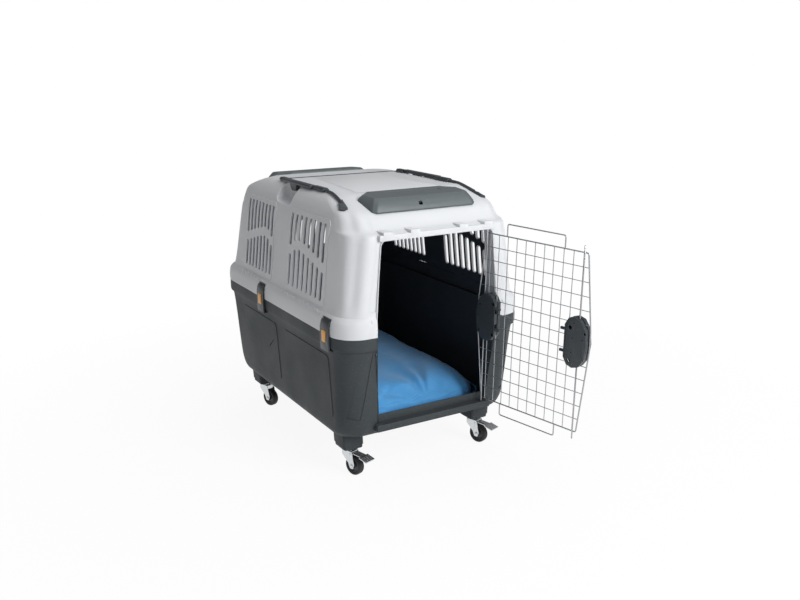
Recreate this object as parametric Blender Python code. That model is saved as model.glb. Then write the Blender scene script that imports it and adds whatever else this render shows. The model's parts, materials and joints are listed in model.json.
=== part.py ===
"""Pet travel crate: a two-part moulded body on four swivel casters, with a wire door.

Metres, +Z up. -Y is the door end, +X is the side that the door hangs on, and the origin is
on the floor under the middle of the crate's box with the door open. The pieces are drawn
round the middle of the body, and the whole crate is moved onto that origin at the end. The
door is modelled open and the casters trail towards the door, as they stand in use.
"""
import math

import bmesh
import bpy
from mathutils import Matrix, Vector

# Overall body
CRATE_LENGTH = 0.920
CRATE_WIDTH = 0.630
TUB_BOTTOM = 0.136
TUB_HEIGHT = 0.320
SHELL_HEIGHT = 0.370
WALL = 0.004
RIM_CORNER = 0.080
CORNER_STEPS = 4

SEAM = TUB_BOTTOM + TUB_HEIGHT
ROOF = SEAM + SHELL_HEIGHT
FRONT = -CRATE_LENGTH / 2
REAR = CRATE_LENGTH / 2
SIDE = CRATE_WIDTH / 2

# Clearances
FIT = 0.0003
RUN = 0.0004
OVERRUN = 0.060

# How far the body's middle stands behind the middle of the box that the open door makes
ORIGIN_SHIFT = 0.1725

# Tub
FLOOR_THICKNESS = 0.005
RIM_BAND = 0.037
UPSTAND_HEIGHT = 0.010
UPSTAND_WALL = 0.003
BOSS_HALF_WIDTH = 0.031
BOSS_HALF_LENGTH = 0.034
BOSS_RISE = 0.124
SILL_TOP = TUB_BOTTOM + 0.050
SILL_DEPTH = 0.021
SILL_REACH = 0.0045
RISER_HEIGHT = 0.022

# Door opening, half widths at named heights
OPENING_TOP = SEAM + 0.268
OPENING_TOP_HALF = SIDE - 0.129
OPENING_UPPER = SEAM + 0.164
OPENING_UPPER_HALF = SIDE - 0.120
OPENING_MID_HIGH = SEAM + 0.044
OPENING_MID_LOW = SEAM - 0.026
OPENING_MID_HALF = SIDE - 0.1105
OPENING_LOWER = SEAM - 0.156
OPENING_LOWER_HALF = SIDE - 0.120
OPENING_BOTTOM_HALF = SIDE - 0.129
OPENING_CORNER = 0.020
REVEAL_DEPTH = 0.045
REVEAL_WALL = 0.0035

# Door hinge axis, a little nearer the cabin at the bottom
HINGE_X = SIDE - 0.147
HINGE_TOP_INSET = 0.008
HINGE_BOTTOM_INSET = 0.020
DOOR_OPEN_DEG = 103.0
DOOR_REFERENCE = SEAM + 0.004

# Door frame and mesh, measured from the middle of the door
DOOR_TOP = OPENING_TOP - 0.0125 - DOOR_REFERENCE
DOOR_BOTTOM = SILL_TOP + 0.011 - DOOR_REFERENCE
DOOR_TOP_GAP = 0.010
DOOR_MID_GAP = 0.005
DOOR_BOTTOM_GAP = 0.0115
DOOR_MID_HIGH = 0.035
DOOR_MID_LOW = -0.020
MESH_OFFSET = 0.0075
FRAME_WIRE = 0.0020
MESH_WIRE = 0.0012
VERTICAL_WIRES = 11
VERTICAL_PITCH = 2 * (HINGE_X + 0.0252) / (VERTICAL_WIRES + 1)
HORIZONTAL_WIRES = 12
LOOP_HALF = 0.100
LOOP_HEIGHT = 0.036

# Latches
LATCH_INNER = 0.044
LATCH_OUTER = 0.028
LATCH_HALF_HEIGHT = 0.073
LATCH_DEPTH = 0.012
LATCH_WALL = 0.0022
LATCH_GAP = 0.0020
ROD_RADIUS = 0.0020
ROD_TRAVEL = 0.012
ROD_BITE = 0.0095
SLIDER_HALF = 0.010
SLIDER_HEIGHT = 0.020
TAB_HEIGHT = 0.007
TAB_LEVEL = 0.032
TAB_REACH = 0.016
SPRING_RADIUS = 0.0032
SPRING_WIRE = 0.0005
SPRING_TURNS = 7
SPRING_STEPS = 6

# Front ledge and its lugs
LEDGE_FRONT = FRONT + 0.0035
LEDGE_HEIGHT = 0.0155
LEDGE_HALF = SIDE - 0.121
LUG_HALF = 0.015
LUG_RISE = 0.0080
LUG_LENGTH = 0.046
INNER_LUG_X = 0.081

# Vents
VENT_SLOTS = 8
VENT_WIDTH = 0.0155
VENT_BOTTOM = SEAM + 0.079
VENT_TOP = SEAM + 0.299
VENT_WAVE_LOW = SEAM + 0.197
VENT_WAVE_HIGH = SEAM + 0.224
VENT_PEAK = 0.28
VENT_DIP = 0.022
VENT_FALL = 0.036
FRONT_VENT_INSET = 0.174
FRONT_VENT_END = -0.066
REAR_VENT_START = 0.081
REAR_VENT_INSET = 0.186
END_VENT_PITCH = 0.030
END_VENT_DROP = 0.030
END_VENT_LOW = SEAM + 0.179
END_VENT_HIGH = SEAM + 0.206

# Roof compartments and their lids
LID_REAR_HALF = SIDE - 0.188
LID_TIP_HALF = SIDE - 0.138
LID_FRONT_HALF = SIDE - 0.154
LID_EDGE = 0.004
LID_TOP_RISE = 0.26
LID_SKIN = 0.003
COMPARTMENT_HALF = SIDE - 0.197
COMPARTMENT_DEPTH = 0.042

# Carry grips and roof rails
GRIP_FRONT = -0.107
GRIP_REAR = 0.093
GRIP_X = SIDE - 0.1005
GRIP_WIDTH = 0.022
GRIP_THICKNESS = 0.010
GRIP_LIFT = 0.0050
GRIP_PIN = 0.0020
LOBE_PLACE = 0.024
RECESS_FRONT = -0.035
RECESS_REAR = 0.078
RECESS_DEPTH = 0.057
RAIL_X = SIDE - 0.0985
RAIL_SIDES = 8
SHOULDER_RAIL_RADIUS = 0.0055
SHOULDER_RAIL_LIFT = 0.0032
CROSSBAR_RADIUS = 0.0026
CROSSBAR_Y = 0.158
KNOB_LENGTH = 0.072
FOOT_Y = FRONT + 0.150
FOOT_LENGTH = 0.060

# Raised panel in the middle of the roof
PANEL_REAR = (0.101, 0.139)
PANEL_FRONT = (0.145, -0.227)
PANEL_RISE = 0.0006

# Side clips
CLIP_POSITIONS = {"front": FRONT + 0.100, "rear": 0.106}
CLIP_HALF = 0.0250
CLIP_THICKNESS = 0.0055
CLIP_GAP = 0.0006
CLIP_PIVOT = (SIDE - 0.0060, SEAM + 0.0385)
BUTTON_HALF = 0.0115
BUTTON_HEIGHT = 0.034
BUTTON_TRAVEL = 0.0018
TRUNNION = 0.0022

# Casters
CASTER_X = SIDE - 0.0875
CASTER_Y = REAR - 0.140
CASTER_HEIGHT = TUB_BOTTOM - 0.0505
CASTER_HEADING_DEG = 18.0
WHEEL_RADIUS = 0.030
WHEEL_WIDTH = 0.022
WHEEL_SIDES = 20
TRAIL = 0.024
CHEEK = 0.002
CHEEK_GAP = 0.0022
AXLE_RADIUS = 0.003
STEM_RADIUS = 0.0055
STEM_LENGTH = 0.028
PEDAL_LENGTH = 0.068

# Cushion
CUSHION_MARGIN = 0.012
CUSHION_HEIGHT = 0.105
CUSHION_STEPS_X = 12
CUSHION_STEPS_Y = 14

REVEAL_END = FRONT + 0.0075 + REVEAL_DEPTH
BOSS_BOTTOM = CASTER_HEIGHT + FIT
BOSS_TOP = TUB_BOTTOM + BOSS_RISE

# Body sections: height, side inset, front inset, rear inset, corner radius
TUB_SECTIONS = (
    (TUB_BOTTOM, 0.042, 0.076, 0.072, 0.060),
    (TUB_BOTTOM + 0.006, 0.034, 0.064, 0.060, 0.066),
    (TUB_BOTTOM + 0.020, 0.028, 0.046, 0.044, 0.072),
    (TUB_BOTTOM + 0.055, 0.023, 0.028, 0.030, 0.076),
    (SEAM - RIM_BAND - 0.002, 0.010, 0.010, 0.012, 0.078),
    (SEAM - RIM_BAND, 0.001, 0.001, 0.001, RIM_CORNER),
    (SEAM, 0.001, 0.001, 0.001, RIM_CORNER),
)
SHELL_SECTIONS = (
    (SEAM + FIT, 0.0010, 0.0010, 0.0010, RIM_CORNER),
    (SEAM + 0.019, 0.0000, 0.0000, 0.0000, RIM_CORNER),
    (SEAM + 0.042, 0.0020, 0.0012, 0.0020, RIM_CORNER),
    (SEAM + 0.054, 0.0090, 0.0040, 0.0080, RIM_CORNER),
    (SEAM + 0.060, 0.0195, 0.0075, 0.0150, RIM_CORNER),
    (SEAM + 0.264, 0.0397, 0.0095, 0.0380, 0.092),
    (SEAM + 0.2835, 0.0430, 0.0140, 0.0450, 0.096),
    (SEAM + 0.2890, 0.0442, 0.0450, 0.0485, 0.090),
    (ROOF - 0.039, 0.0545, 0.0750, 0.0750, 0.075),
    (ROOF - 0.020, 0.0670, 0.1359, 0.1280, 0.070),
    (ROOF - 0.008, 0.0790, 0.1744, 0.1680, 0.068),
    (ROOF, 0.0930, 0.2000, 0.2000, 0.062),
)
ROOF_EDGE = 8

SLOPE_RUN = SHELL_SECTIONS[-1][2] - SHELL_SECTIONS[ROOF_EDGE][2]
SLOPE_DROP = SHELL_SECTIONS[-1][0] - SHELL_SECTIONS[ROOF_EDGE][0]
SLOPE = math.atan2(SLOPE_DROP, SLOPE_RUN)

PLASTICS = {
    "shell_grey": ((0.66, 0.67, 0.68), 0.45, 0.0),
    "tub_grey": ((0.065, 0.070, 0.075), 0.50, 0.0),
    "lid_grey": ((0.13, 0.15, 0.155), 0.45, 0.0),
    "black_plastic": ((0.022, 0.028, 0.034), 0.40, 0.0),
    "orange_plastic": ((0.78, 0.38, 0.05), 0.35, 0.0),
    "steel_wire": ((0.55, 0.56, 0.57), 0.30, 1.0),
    "zinc_plate": ((0.75, 0.76, 0.78), 0.28, 1.0),
    "black_rubber": ((0.012, 0.012, 0.013), 0.70, 0.0),
    "blue_cloth": ((0.08, 0.35, 0.72), 0.85, 0.0),
}


def clear_scene():
    """Take away what the scene starts with."""
    for old in list(bpy.data.objects):
        bpy.data.objects.remove(old, do_unlink=True)


def material(name):
    """Return the named material, made once from its colour, roughness and metallic value."""
    found = bpy.data.materials.get(name)
    if found:
        return found
    colour, roughness, metallic = PLASTICS[name]
    made = bpy.data.materials.new(name)
    made.use_nodes = True
    shader = made.node_tree.nodes["Principled BSDF"]
    shader.inputs["Base Color"].default_value = (*colour, 1.0)
    shader.inputs["Roughness"].default_value = roughness
    shader.inputs["Metallic"].default_value = metallic
    return made


def piece(name, shape, finish=None, parent=None, smooth=None):
    """Turn a bmesh into a scene object, in its parent's frame when it has one."""
    bmesh.ops.recalc_face_normals(shape, faces=shape.faces)
    mesh = bpy.data.meshes.new(name)
    shape.to_mesh(mesh)
    shape.free()
    if smooth is not None:
        mesh.shade_smooth()
        mesh.set_sharp_from_angle(angle=math.radians(smooth))
    made = bpy.data.objects.new(name, mesh)
    bpy.context.scene.collection.objects.link(made)
    if finish:
        mesh.materials.append(material(finish))
    if parent:
        made.parent = parent
    return made


def guide(name, matrix, parent=None):
    """Add an empty that carries a moving assembly on its joint's axis."""
    made = bpy.data.objects.new(name, None)
    bpy.context.scene.collection.objects.link(made)
    made.parent = parent
    made.matrix_basis = matrix
    return made


def combine(target, operand, operation):
    """Add a Boolean to the target and put the operand away as a construction shape."""
    step = target.modifiers.new(operand.name, "BOOLEAN")
    step.operation = operation
    step.object = operand
    step.solver = "EXACT"
    operand.hide_render = True
    operand.display_type = "WIRE"


def gather(*shapes):
    """Join separate bmesh shapes into the first one."""
    whole = shapes[0]
    for extra in shapes[1:]:
        scratch = bpy.data.meshes.new("scratch")
        bmesh.ops.recalc_face_normals(extra, faces=extra.faces)
        extra.to_mesh(scratch)
        whole.from_mesh(scratch)
        extra.free()
        bpy.data.meshes.remove(scratch)
    return whole


def loft(rings):
    """Skin a stack of rings with the same number of points and close both ends."""
    shape = bmesh.new()
    rows = [[shape.verts.new(point) for point in ring] for ring in rings]
    count = len(rows[0])
    for low, high in zip(rows, rows[1:]):
        for i in range(count):
            j = (i + 1) % count
            shape.faces.new((low[i], low[j], high[j], high[i]))
    shape.faces.new(reversed(rows[0]))
    shape.faces.new(rows[-1])
    bmesh.ops.recalc_face_normals(shape, faces=shape.faces)
    return shape


def prism(outline, axis, low, high):
    """Extrude a flat outline along X, Y or Z between two levels."""
    place = {
        "X": lambda a, b, h: (h, a, b),
        "Y": lambda a, b, h: (a, h, b),
        "Z": lambda a, b, h: (a, b, h),
    }[axis]
    return loft([[place(a, b, level) for a, b in outline] for level in (low, high)])


def box(low, high):
    """A box between two corners."""
    outline = ((low[0], low[1]), (high[0], low[1]), (high[0], high[1]), (low[0], high[1]))
    return prism(outline, "Z", low[2], high[2])


def circle(radius, sides, centre=(0.0, 0.0)):
    """Points round a circle, with one straight below the centre."""
    steps = (2 * math.pi * i / sides - math.pi / 2 for i in range(sides))
    return [(centre[0] + radius * math.cos(a), centre[1] + radius * math.sin(a)) for a in steps]


def rod(radius, low, high, axis="Z", centre=(0.0, 0.0), sides=12):
    """A round bar along an axis through a centre."""
    return prism(circle(radius, sides, centre), axis, low, high)


def turned(profile, axis="Z", centre=(0.0, 0.0), sides=16):
    """A solid turned from (radius, height) points, closed flat at both ends."""
    place = {
        "X": lambda a, b, h: (h, a, b),
        "Z": lambda a, b, h: (a, b, h),
    }[axis]
    return loft([[place(a, b, h) for a, b in circle(r, sides, centre)] for r, h in profile])


def ring_solid(profile, sides):
    """A ring about the X axis from a closed outline of (radius, x) points."""
    shape = bmesh.new()
    rows = []
    for i in range(sides):
        angle = 2 * math.pi * i / sides - math.pi / 2
        around = (math.cos(angle), math.sin(angle))
        rows.append([shape.verts.new((x, r * around[0], r * around[1])) for r, x in profile])
    count = len(profile)
    for i in range(sides):
        row, following = rows[i], rows[(i + 1) % sides]
        for j in range(count):
            k = (j + 1) % count
            shape.faces.new((row[j], row[k], following[k], following[j]))
    bmesh.ops.recalc_face_normals(shape, faces=shape.faces)
    return shape


def filleted(points, radii, steps=4):
    """Round the corners of an outline with arcs."""
    outline = []
    count = len(points)
    for i, corner in enumerate(points):
        here = Vector(corner)
        back = (Vector(points[i - 1]) - here)
        ahead = (Vector(points[(i + 1) % count]) - here)
        radius = radii[i] if isinstance(radii, (list, tuple)) else radii
        half = back.angle(ahead) / 2
        reach = radius / math.tan(half) if radius else 0.0
        reach = min(reach, 0.48 * back.length, 0.48 * ahead.length)
        if reach < 1e-6:
            outline.append(tuple(here))
            continue
        start = here + back.normalized() * reach
        end = here + ahead.normalized() * reach
        for step in range(steps + 1):
            t = step / steps
            point = start * (1 - t) ** 2 + here * 2 * t * (1 - t) + end * t ** 2
            outline.append(tuple(point))
    return outline


def moved(shape, matrix):
    """Place a shape by a matrix."""
    bmesh.ops.transform(shape, matrix=matrix, verts=shape.verts)
    return shape


def mirrored(shape, axis):
    """Mirror a shape across the plane through the origin square to X or Y."""
    scale = (-1, 1, 1) if axis == "X" else (1, -1, 1)
    bmesh.ops.scale(shape, vec=scale, verts=shape.verts)
    bmesh.ops.recalc_face_normals(shape, faces=shape.faces)
    return shape


def sweep(path, radius, sides, normal, closed=False):
    """A tube along a path that lies in, or close to, the plane square to a normal."""
    points = [Vector(p) for p in path]
    count = len(points)
    rings = []
    for i, point in enumerate(points):
        before = points[i - 1] if closed or i else point
        after = points[(i + 1) % count] if closed or i < count - 1 else point
        along_in = (point - before).normalized() if before != point else None
        along_out = (after - point).normalized() if after != point else None
        along_in = along_in or along_out
        along_out = along_out or along_in
        tangent = (along_in + along_out).normalized()
        across = tangent.cross(normal).normalized()
        up = across.cross(tangent).normalized()
        stretch = 1 / max(0.5, tangent.dot(along_out))
        ring = []
        for k in range(sides):
            angle = 2 * math.pi * (k + 0.5) / sides
            offset = across * math.cos(angle) * stretch + up * math.sin(angle)
            ring.append(point + offset * radius)
        rings.append(ring)
    if not closed:
        return loft(rings)
    shape = bmesh.new()
    rows = [[shape.verts.new(p) for p in ring] for ring in rings]
    for i in range(count):
        row, following = rows[i], rows[(i + 1) % count]
        for j in range(sides):
            k = (j + 1) % sides
            shape.faces.new((row[j], row[k], following[k], following[j]))
    bmesh.ops.recalc_face_normals(shape, faces=shape.faces)
    return shape


def plan_ring(section, inset=0.0, drop=0.0):
    """A rounded rectangle in plan for one body section, drawn in by an inset."""
    height, side_in, front_in, rear_in, radius = section
    half = SIDE - side_in - inset
    front = FRONT + front_in + inset
    rear = REAR - rear_in - inset
    radius = max(radius - inset, 0.006)
    corners = (
        (half - radius, rear - radius, 0),
        (-half + radius, rear - radius, 90),
        (-half + radius, front + radius, 180),
        (half - radius, front + radius, 270),
    )
    ring = []
    for x, y, start in corners:
        for step in range(CORNER_STEPS + 1):
            angle = math.radians(start + 90 * step / CORNER_STEPS)
            ring.append((x + radius * math.cos(angle), y + radius * math.sin(angle), height - drop))
    return ring


def section_at(sections, height):
    """Interpolate a body section between the two that stand round a height."""
    for low, high in zip(sections, sections[1:]):
        if low[0] <= height <= high[0]:
            t = (height - low[0]) / (high[0] - low[0])
            return tuple(a + (b - a) * t for a, b in zip(low, high))
    return sections[0] if height < sections[0][0] else sections[-1]


def inside_section(section, x, y):
    """Whether a point lies inside a body section's outline in plan."""
    _, side_in, front_in, rear_in, radius = section
    half = SIDE - side_in
    front = FRONT + front_in
    rear = REAR - rear_in
    over_x = max(abs(x) - (half - radius), 0.0)
    over_y = max((front + radius) - y, y - (rear - radius), 0.0)
    return math.hypot(over_x, over_y) <= radius


def roof_height(x, y):
    """Height of the shell's outer surface over a point in plan."""
    low, high = SEAM + 0.060, ROOF
    if inside_section(SHELL_SECTIONS[-1], x, y):
        return ROOF
    for _ in range(40):
        middle = (low + high) / 2
        if inside_section(section_at(SHELL_SECTIONS, middle), x, y):
            low = middle
        else:
            high = middle
    return low


def opening_outline(grow=0.0):
    """The door opening's outline in (x, z), grown outwards all round."""
    right = (
        (OPENING_BOTTOM_HALF + grow, SILL_TOP - grow),
        (OPENING_LOWER_HALF + grow, OPENING_LOWER),
        (OPENING_MID_HALF + grow, OPENING_MID_LOW),
        (OPENING_MID_HALF + grow, OPENING_MID_HIGH),
        (OPENING_UPPER_HALF + grow, OPENING_UPPER),
        (OPENING_TOP_HALF + grow, OPENING_TOP + grow),
    )
    left = tuple((-x, z) for x, z in reversed(right))
    radii = (0.006, 0.10, 0.10, 0.10, 0.10, OPENING_CORNER + grow)
    return filleted(right + left, radii + tuple(reversed(radii)), steps=3)


def hinge_y(height):
    """Where the leaning hinge axis stands at a height."""
    top = LEDGE_FRONT + HINGE_TOP_INSET - 0.0035
    bottom = FRONT + HINGE_BOTTOM_INSET
    t = (height - SILL_TOP) / (OPENING_TOP - SILL_TOP)
    return bottom + (top - bottom) * t


LEAN = math.atan2(hinge_y(SILL_TOP) - hinge_y(OPENING_TOP), OPENING_TOP - SILL_TOP)
SOCKET_RADIUS = ROD_RADIUS + FIT * 2


def rod_sockets(low, high):
    """The bores in ledge and sill that the door rods enter, along the leaning axes."""
    bores = []
    for x in (HINGE_X, -HINGE_X):
        ends = [(x, hinge_y(z), z) for z in (low, high)]
        rings = [[(a + end[0], b + end[1], end[2]) for a, b in circle(SOCKET_RADIUS, 12)] for end in ends]
        bores.append(loft(rings))
    return gather(*bores)


def clip_section(grow=0.0):
    """A clip's cross section in (distance from the crate's middle, height)."""
    inner = SIDE + CLIP_GAP - grow
    outer = inner + CLIP_THICKNESS + 2 * grow
    foot = SEAM - RIM_BAND
    return (
        (SIDE - 0.009 - grow, foot - 0.0080 - grow),
        (outer - 0.001, foot - 0.0080 - grow),
        (outer + 0.0005, SEAM - 0.012),
        (outer, SEAM + 0.020),
        (outer - 0.003, SEAM + 0.036),
        (SIDE - 0.0010, SEAM + 0.0435 + grow),
        (SIDE - 0.0090 - grow, SEAM + 0.0435 + grow),
        (SIDE - 0.0105 - grow, SEAM + 0.0350),
        (SIDE - 0.0030, SEAM + 0.0320 - grow),
        (inner, SEAM + 0.0270 - grow),
        (inner, foot - 0.0026 + grow),
        (SIDE - 0.009 - grow, foot - 0.0026 + grow),
    )


def clip_recess(grow=0.0):
    """The pocket in the shell's rim that a clip's head sits in, for one side and place."""
    low = (SIDE - 0.0150 - grow, -CLIP_HALF - 0.0012 - grow, SEAM + 0.0275 - grow)
    high = (SIDE + 0.0200, CLIP_HALF + 0.0012 + grow, SEAM + 0.0500 + grow)
    return box(low, high)


def at_clips(make):
    """Copies of a shape for the right side, set at each clip on both sides."""
    copies = []
    for y in CLIP_POSITIONS.values():
        copies.append(moved(make(), Matrix.Translation((0, y, 0))))
        copies.append(moved(mirrored(make(), "X"), Matrix.Translation((0, y, 0))))
    return gather(*copies)


def leg_boss(x, y):
    """The block under a corner of the tub that holds a caster's stem."""
    sections = (
        (BOSS_BOTTOM, 0.0),
        (TUB_BOTTOM + 0.010, 0.002),
        (BOSS_TOP, 0.006),
    )
    rings = []
    lean = 0.010
    for height, grow in sections:
        half_x, half_y = BOSS_HALF_WIDTH + grow, BOSS_HALF_LENGTH + grow
        corners = ((-half_x, -half_y), (half_x, -half_y), (half_x, half_y), (-half_x, half_y))
        outline = filleted(corners, 0.010, steps=2)
        shift = lean * (height - BOSS_BOTTOM) / (BOSS_TOP - BOSS_BOTTOM)
        out_x = math.copysign(shift, x)
        rings.append([(x + a + out_x, y + b, height) for a, b in outline])
    return loft(rings)


def tub_outer():
    """The tub's outside, with the sill block in front and the caster legs."""
    body = piece("tub_form", loft([plan_ring(s) for s in TUB_SECTIONS]))
    sill = box(
        (-OPENING_BOTTOM_HALF - 0.012, hinge_y(SILL_TOP) - SILL_REACH, SILL_TOP - SILL_DEPTH),
        (OPENING_BOTTOM_HALF + 0.012, REVEAL_END - 0.006, SILL_TOP + 0.001),
    )
    combine(body, piece("sill_block", sill), "UNION")
    return body


def build_tub():
    """The lower half of the body."""
    tub = tub_outer()
    tub.name = "base_tub"
    tub.data.materials.append(material("tub_grey"))
    inner = [(TUB_BOTTOM + FLOOR_THICKNESS, *TUB_SECTIONS[1][1:])]
    inner += [(s[0] + FLOOR_THICKNESS * 0.6, *s[1:]) for s in TUB_SECTIONS[2:4]]
    inner += [TUB_SECTIONS[4], (SEAM + OVERRUN, *TUB_SECTIONS[4][1:])]
    cavity = piece("tub_cavity", loft([plan_ring(s, WALL) for s in inner]))

    keep = prism(opening_outline(REVEAL_WALL), "Y", FRONT - OVERRUN, REVEAL_END)
    combine(cavity, piece("tub_reveal_keep", keep), "DIFFERENCE")
    combine(tub, cavity, "DIFFERENCE")

    places = [(sx * CASTER_X, sy * CASTER_Y) for sx in (-1, 1) for sy in (-1, 1)]
    legs = gather(*[leg_boss(x, y) for x, y in places])
    outside = piece("leg_bosses", legs)
    hollow = piece("leg_limit", loft([plan_ring(s, WALL) for s in inner]))
    combine(outside, hollow, "DIFFERENCE")
    combine(tub, outside, "UNION")

    upstand_section = (SEAM, 0.010, 0.010, 0.010, RIM_CORNER - 0.009)
    rings = [plan_ring((z, *upstand_section[1:])) for z in (SEAM - 0.012, SEAM + UPSTAND_HEIGHT)]
    upstand = piece("tub_upstand", loft(rings))
    rings = [plan_ring((z, *upstand_section[1:]), UPSTAND_WALL) for z in (SEAM - 0.03, SEAM + OVERRUN)]
    combine(upstand, piece("upstand_hollow", loft(rings)), "DIFFERENCE")
    mouth_half = OPENING_MID_HALF + REVEAL_WALL + 2 * FIT
    gap = box((-mouth_half, FRONT, SEAM), (mouth_half, REVEAL_END, SEAM + OVERRUN))
    combine(upstand, piece("upstand_gap", gap), "DIFFERENCE")
    combine(tub, upstand, "UNION")

    mouth = prism(opening_outline(), "Y", FRONT - OVERRUN, REVEAL_END + 0.030)
    combine(tub, piece("tub_mouth", mouth), "DIFFERENCE")
    riser = box(
        (-OPENING_BOTTOM_HALF - 0.002, REVEAL_END - 0.010, SILL_TOP - 0.012),
        (OPENING_BOTTOM_HALF + 0.002, REVEAL_END - 0.006, SILL_TOP + RISER_HEIGHT),
    )
    combine(tub, piece("sill_riser", riser), "UNION")
    sockets = rod_sockets(SILL_TOP - ROD_BITE - 0.001, SILL_TOP + 0.004)
    combine(tub, piece("sill_sockets", sockets), "DIFFERENCE")
    bores = [
        rod(STEM_RADIUS + FIT, BOSS_BOTTOM - 0.01, CASTER_HEIGHT + STEM_LENGTH + 0.001, centre=place)
        for place in places
    ]
    combine(tub, piece("stem_bores", gather(*bores)), "DIFFERENCE")
    return tub


def lid_outline():
    """The lid's outline in (x, distance down the roof slope)."""
    length = SLOPE_RUN / math.cos(SLOPE)
    half = (
        (LID_REAR_HALF, 0.0),
        (LID_TIP_HALF, 0.31 * length),
        (LID_TIP_HALF - 0.004, length - 0.010),
        (LID_FRONT_HALF, length - 0.0005),
    )
    return half + tuple((-x, v) for x, v in reversed(half))


def on_slope(x, v, n, end):
    """A point from lid coordinates to the front (-1) or rear (1) roof slope."""
    edge = FRONT + SHELL_SECTIONS[-1][2] if end < 0 else REAR - SHELL_SECTIONS[-1][2]
    y = edge + end * (v * math.cos(SLOPE) + n * math.sin(SLOPE))
    z = ROOF - v * math.sin(SLOPE) + n * math.cos(SLOPE)
    return (x, y, z)


def slope_block(outline, low, high, end):
    """A block standing square to the roof slope between two depths."""
    rings = [[on_slope(x, v, n, end) for x, v in outline] for n in (low, high)]
    return loft(rings)


def shrunk(outline, side, head, tail):
    """Draw an outline in at its sides, at its upper end and at its lower end."""
    length = max(v for _, v in outline)
    drawn = []
    for x, v in outline:
        share = v / length
        x = math.copysign(abs(x) - side, x)
        drawn.append((x, v + head * (1 - share) - tail * share))
    return drawn


def lid_body(end, shell_in=0.0):
    """The raised lid, flat on top and sloped round its edges."""
    outline = filleted(lid_outline(), 0.008, steps=2)
    base = shrunk(outline, shell_in, shell_in, shell_in)
    top = shrunk(outline, 0.020 + shell_in, 0.004 + shell_in, 0.034 + shell_in)
    rings = []
    bottom = FIT - 0.001 if not shell_in else -0.004
    rings.append([on_slope(x, v, bottom, end) for x, v in base])
    rings.append([on_slope(x, v, LID_EDGE - shell_in, end) for x, v in base])
    rise = LID_TOP_RISE
    rings.append([on_slope(x, v, LID_EDGE + 0.0015 - shell_in + rise * v, end) for x, v in top])
    return loft(rings)


def build_lid(name, end):
    """One roof compartment's lid."""
    lid = piece(name, lid_body(end), "lid_grey")
    combine(lid, piece(name + "_hollow", lid_body(end, LID_SKIN)), "DIFFERENCE")
    return lid


def compartment(end, grow=0.0):
    """The storage space moulded in the roof under a lid."""
    length = SLOPE_RUN / math.cos(SLOPE)
    near, far = 0.014 - grow, length - 0.022 + grow
    half = COMPARTMENT_HALF + grow
    outline = filleted(((-half, near), (half, near), (half, far), (-half, far)), 0.010, steps=2)
    return slope_block(outline, -COMPARTMENT_DEPTH - grow, 0.010, end)


def lid_seat(end):
    """The shallow seat that a lid rests in."""
    outline = shrunk(filleted(lid_outline(), 0.008, steps=2), -0.0006, -0.0006, -0.0006)
    return slope_block(outline, -0.001, 0.010, end)


def hand_recess(grow=0.0):
    """The finger space under the right-hand grip."""
    low = (GRIP_X - 0.002 - grow, RECESS_FRONT - grow, ROOF - RECESS_DEPTH - grow)
    high = (SIDE + OVERRUN, RECESS_REAR + grow, ROOF + 0.030)
    return box(low, high)


def vent_centres():
    """The Y of each slot of both panels, with its place from the middle pillar outwards."""
    front = (FRONT_VENT_END, FRONT + FRONT_VENT_INSET)
    rear = (REAR_VENT_START, REAR - REAR_VENT_INSET)
    centres = []
    for start, end in (front, rear):
        for i in range(VENT_SLOTS):
            share = i / (VENT_SLOTS - 1)
            centres.append((start + (end - start) * share, share))
    return centres


def vent_drop(share):
    """How far the waved band lies below its peak at a place along a panel."""
    if share < VENT_PEAK:
        return VENT_DIP * (1 - share / VENT_PEAK) ** 2
    return VENT_FALL * ((share - VENT_PEAK) / (1 - VENT_PEAK)) ** 1.25


def vent_cutters():
    """Slots through both side walls, two rows a panel with a waved band between them."""
    cutters = []
    half = VENT_WIDTH / 2
    for y, share in vent_centres():
        drop = vent_drop(share)
        rows = (
            (VENT_BOTTOM, VENT_WAVE_LOW - drop),
            (VENT_WAVE_HIGH - drop, VENT_TOP),
        )
        for low, high in rows:
            right = box((SIDE - 0.075, y - half, low), (SIDE + 0.010, y + half, high))
            cutters.append(right)
            cutters.append(box((-SIDE - 0.010, y - half, low), (-SIDE + 0.075, y + half, high)))
    return gather(*cutters)


def rear_vent_cutters():
    """Two rows of slots through the rear wall."""
    cutters = []
    half = VENT_WIDTH / 2
    for i in range(VENT_SLOTS):
        x = (i - (VENT_SLOTS - 1) / 2) * END_VENT_PITCH
        for low, high in ((VENT_BOTTOM, END_VENT_LOW), (END_VENT_HIGH, VENT_TOP - END_VENT_DROP)):
            cutters.append(box((x - half, REAR - 0.080, low), (x + half, REAR + 0.010, high)))
    return gather(*cutters)


def rail_path(side):
    """The front rail's line over the roof edge, from knob to foot."""
    start = GRIP_FRONT - 0.004 - KNOB_LENGTH * 0.6
    end = FRONT + 0.160
    steps = 6
    path = []
    for i in range(steps + 1):
        t = i / steps
        x = RAIL_X + 0.010 * t * t
        y = start + (end - start) * t
        path.append((side * x, y, roof_height(x, y) + SHOULDER_RAIL_LIFT))
    return path


def crossbar_path():
    """The rear rail's line from one grip's end across the roof to the other's."""
    start = GRIP_REAR + 0.020
    right = ((RAIL_X, start), (RAIL_X, CROSSBAR_Y), (-RAIL_X, CROSSBAR_Y), (-RAIL_X, start))
    bent = filleted(right, (0.0, 0.020, 0.020, 0.0), steps=4)
    return [(x, y, ROOF) for x, y in bent]


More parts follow.
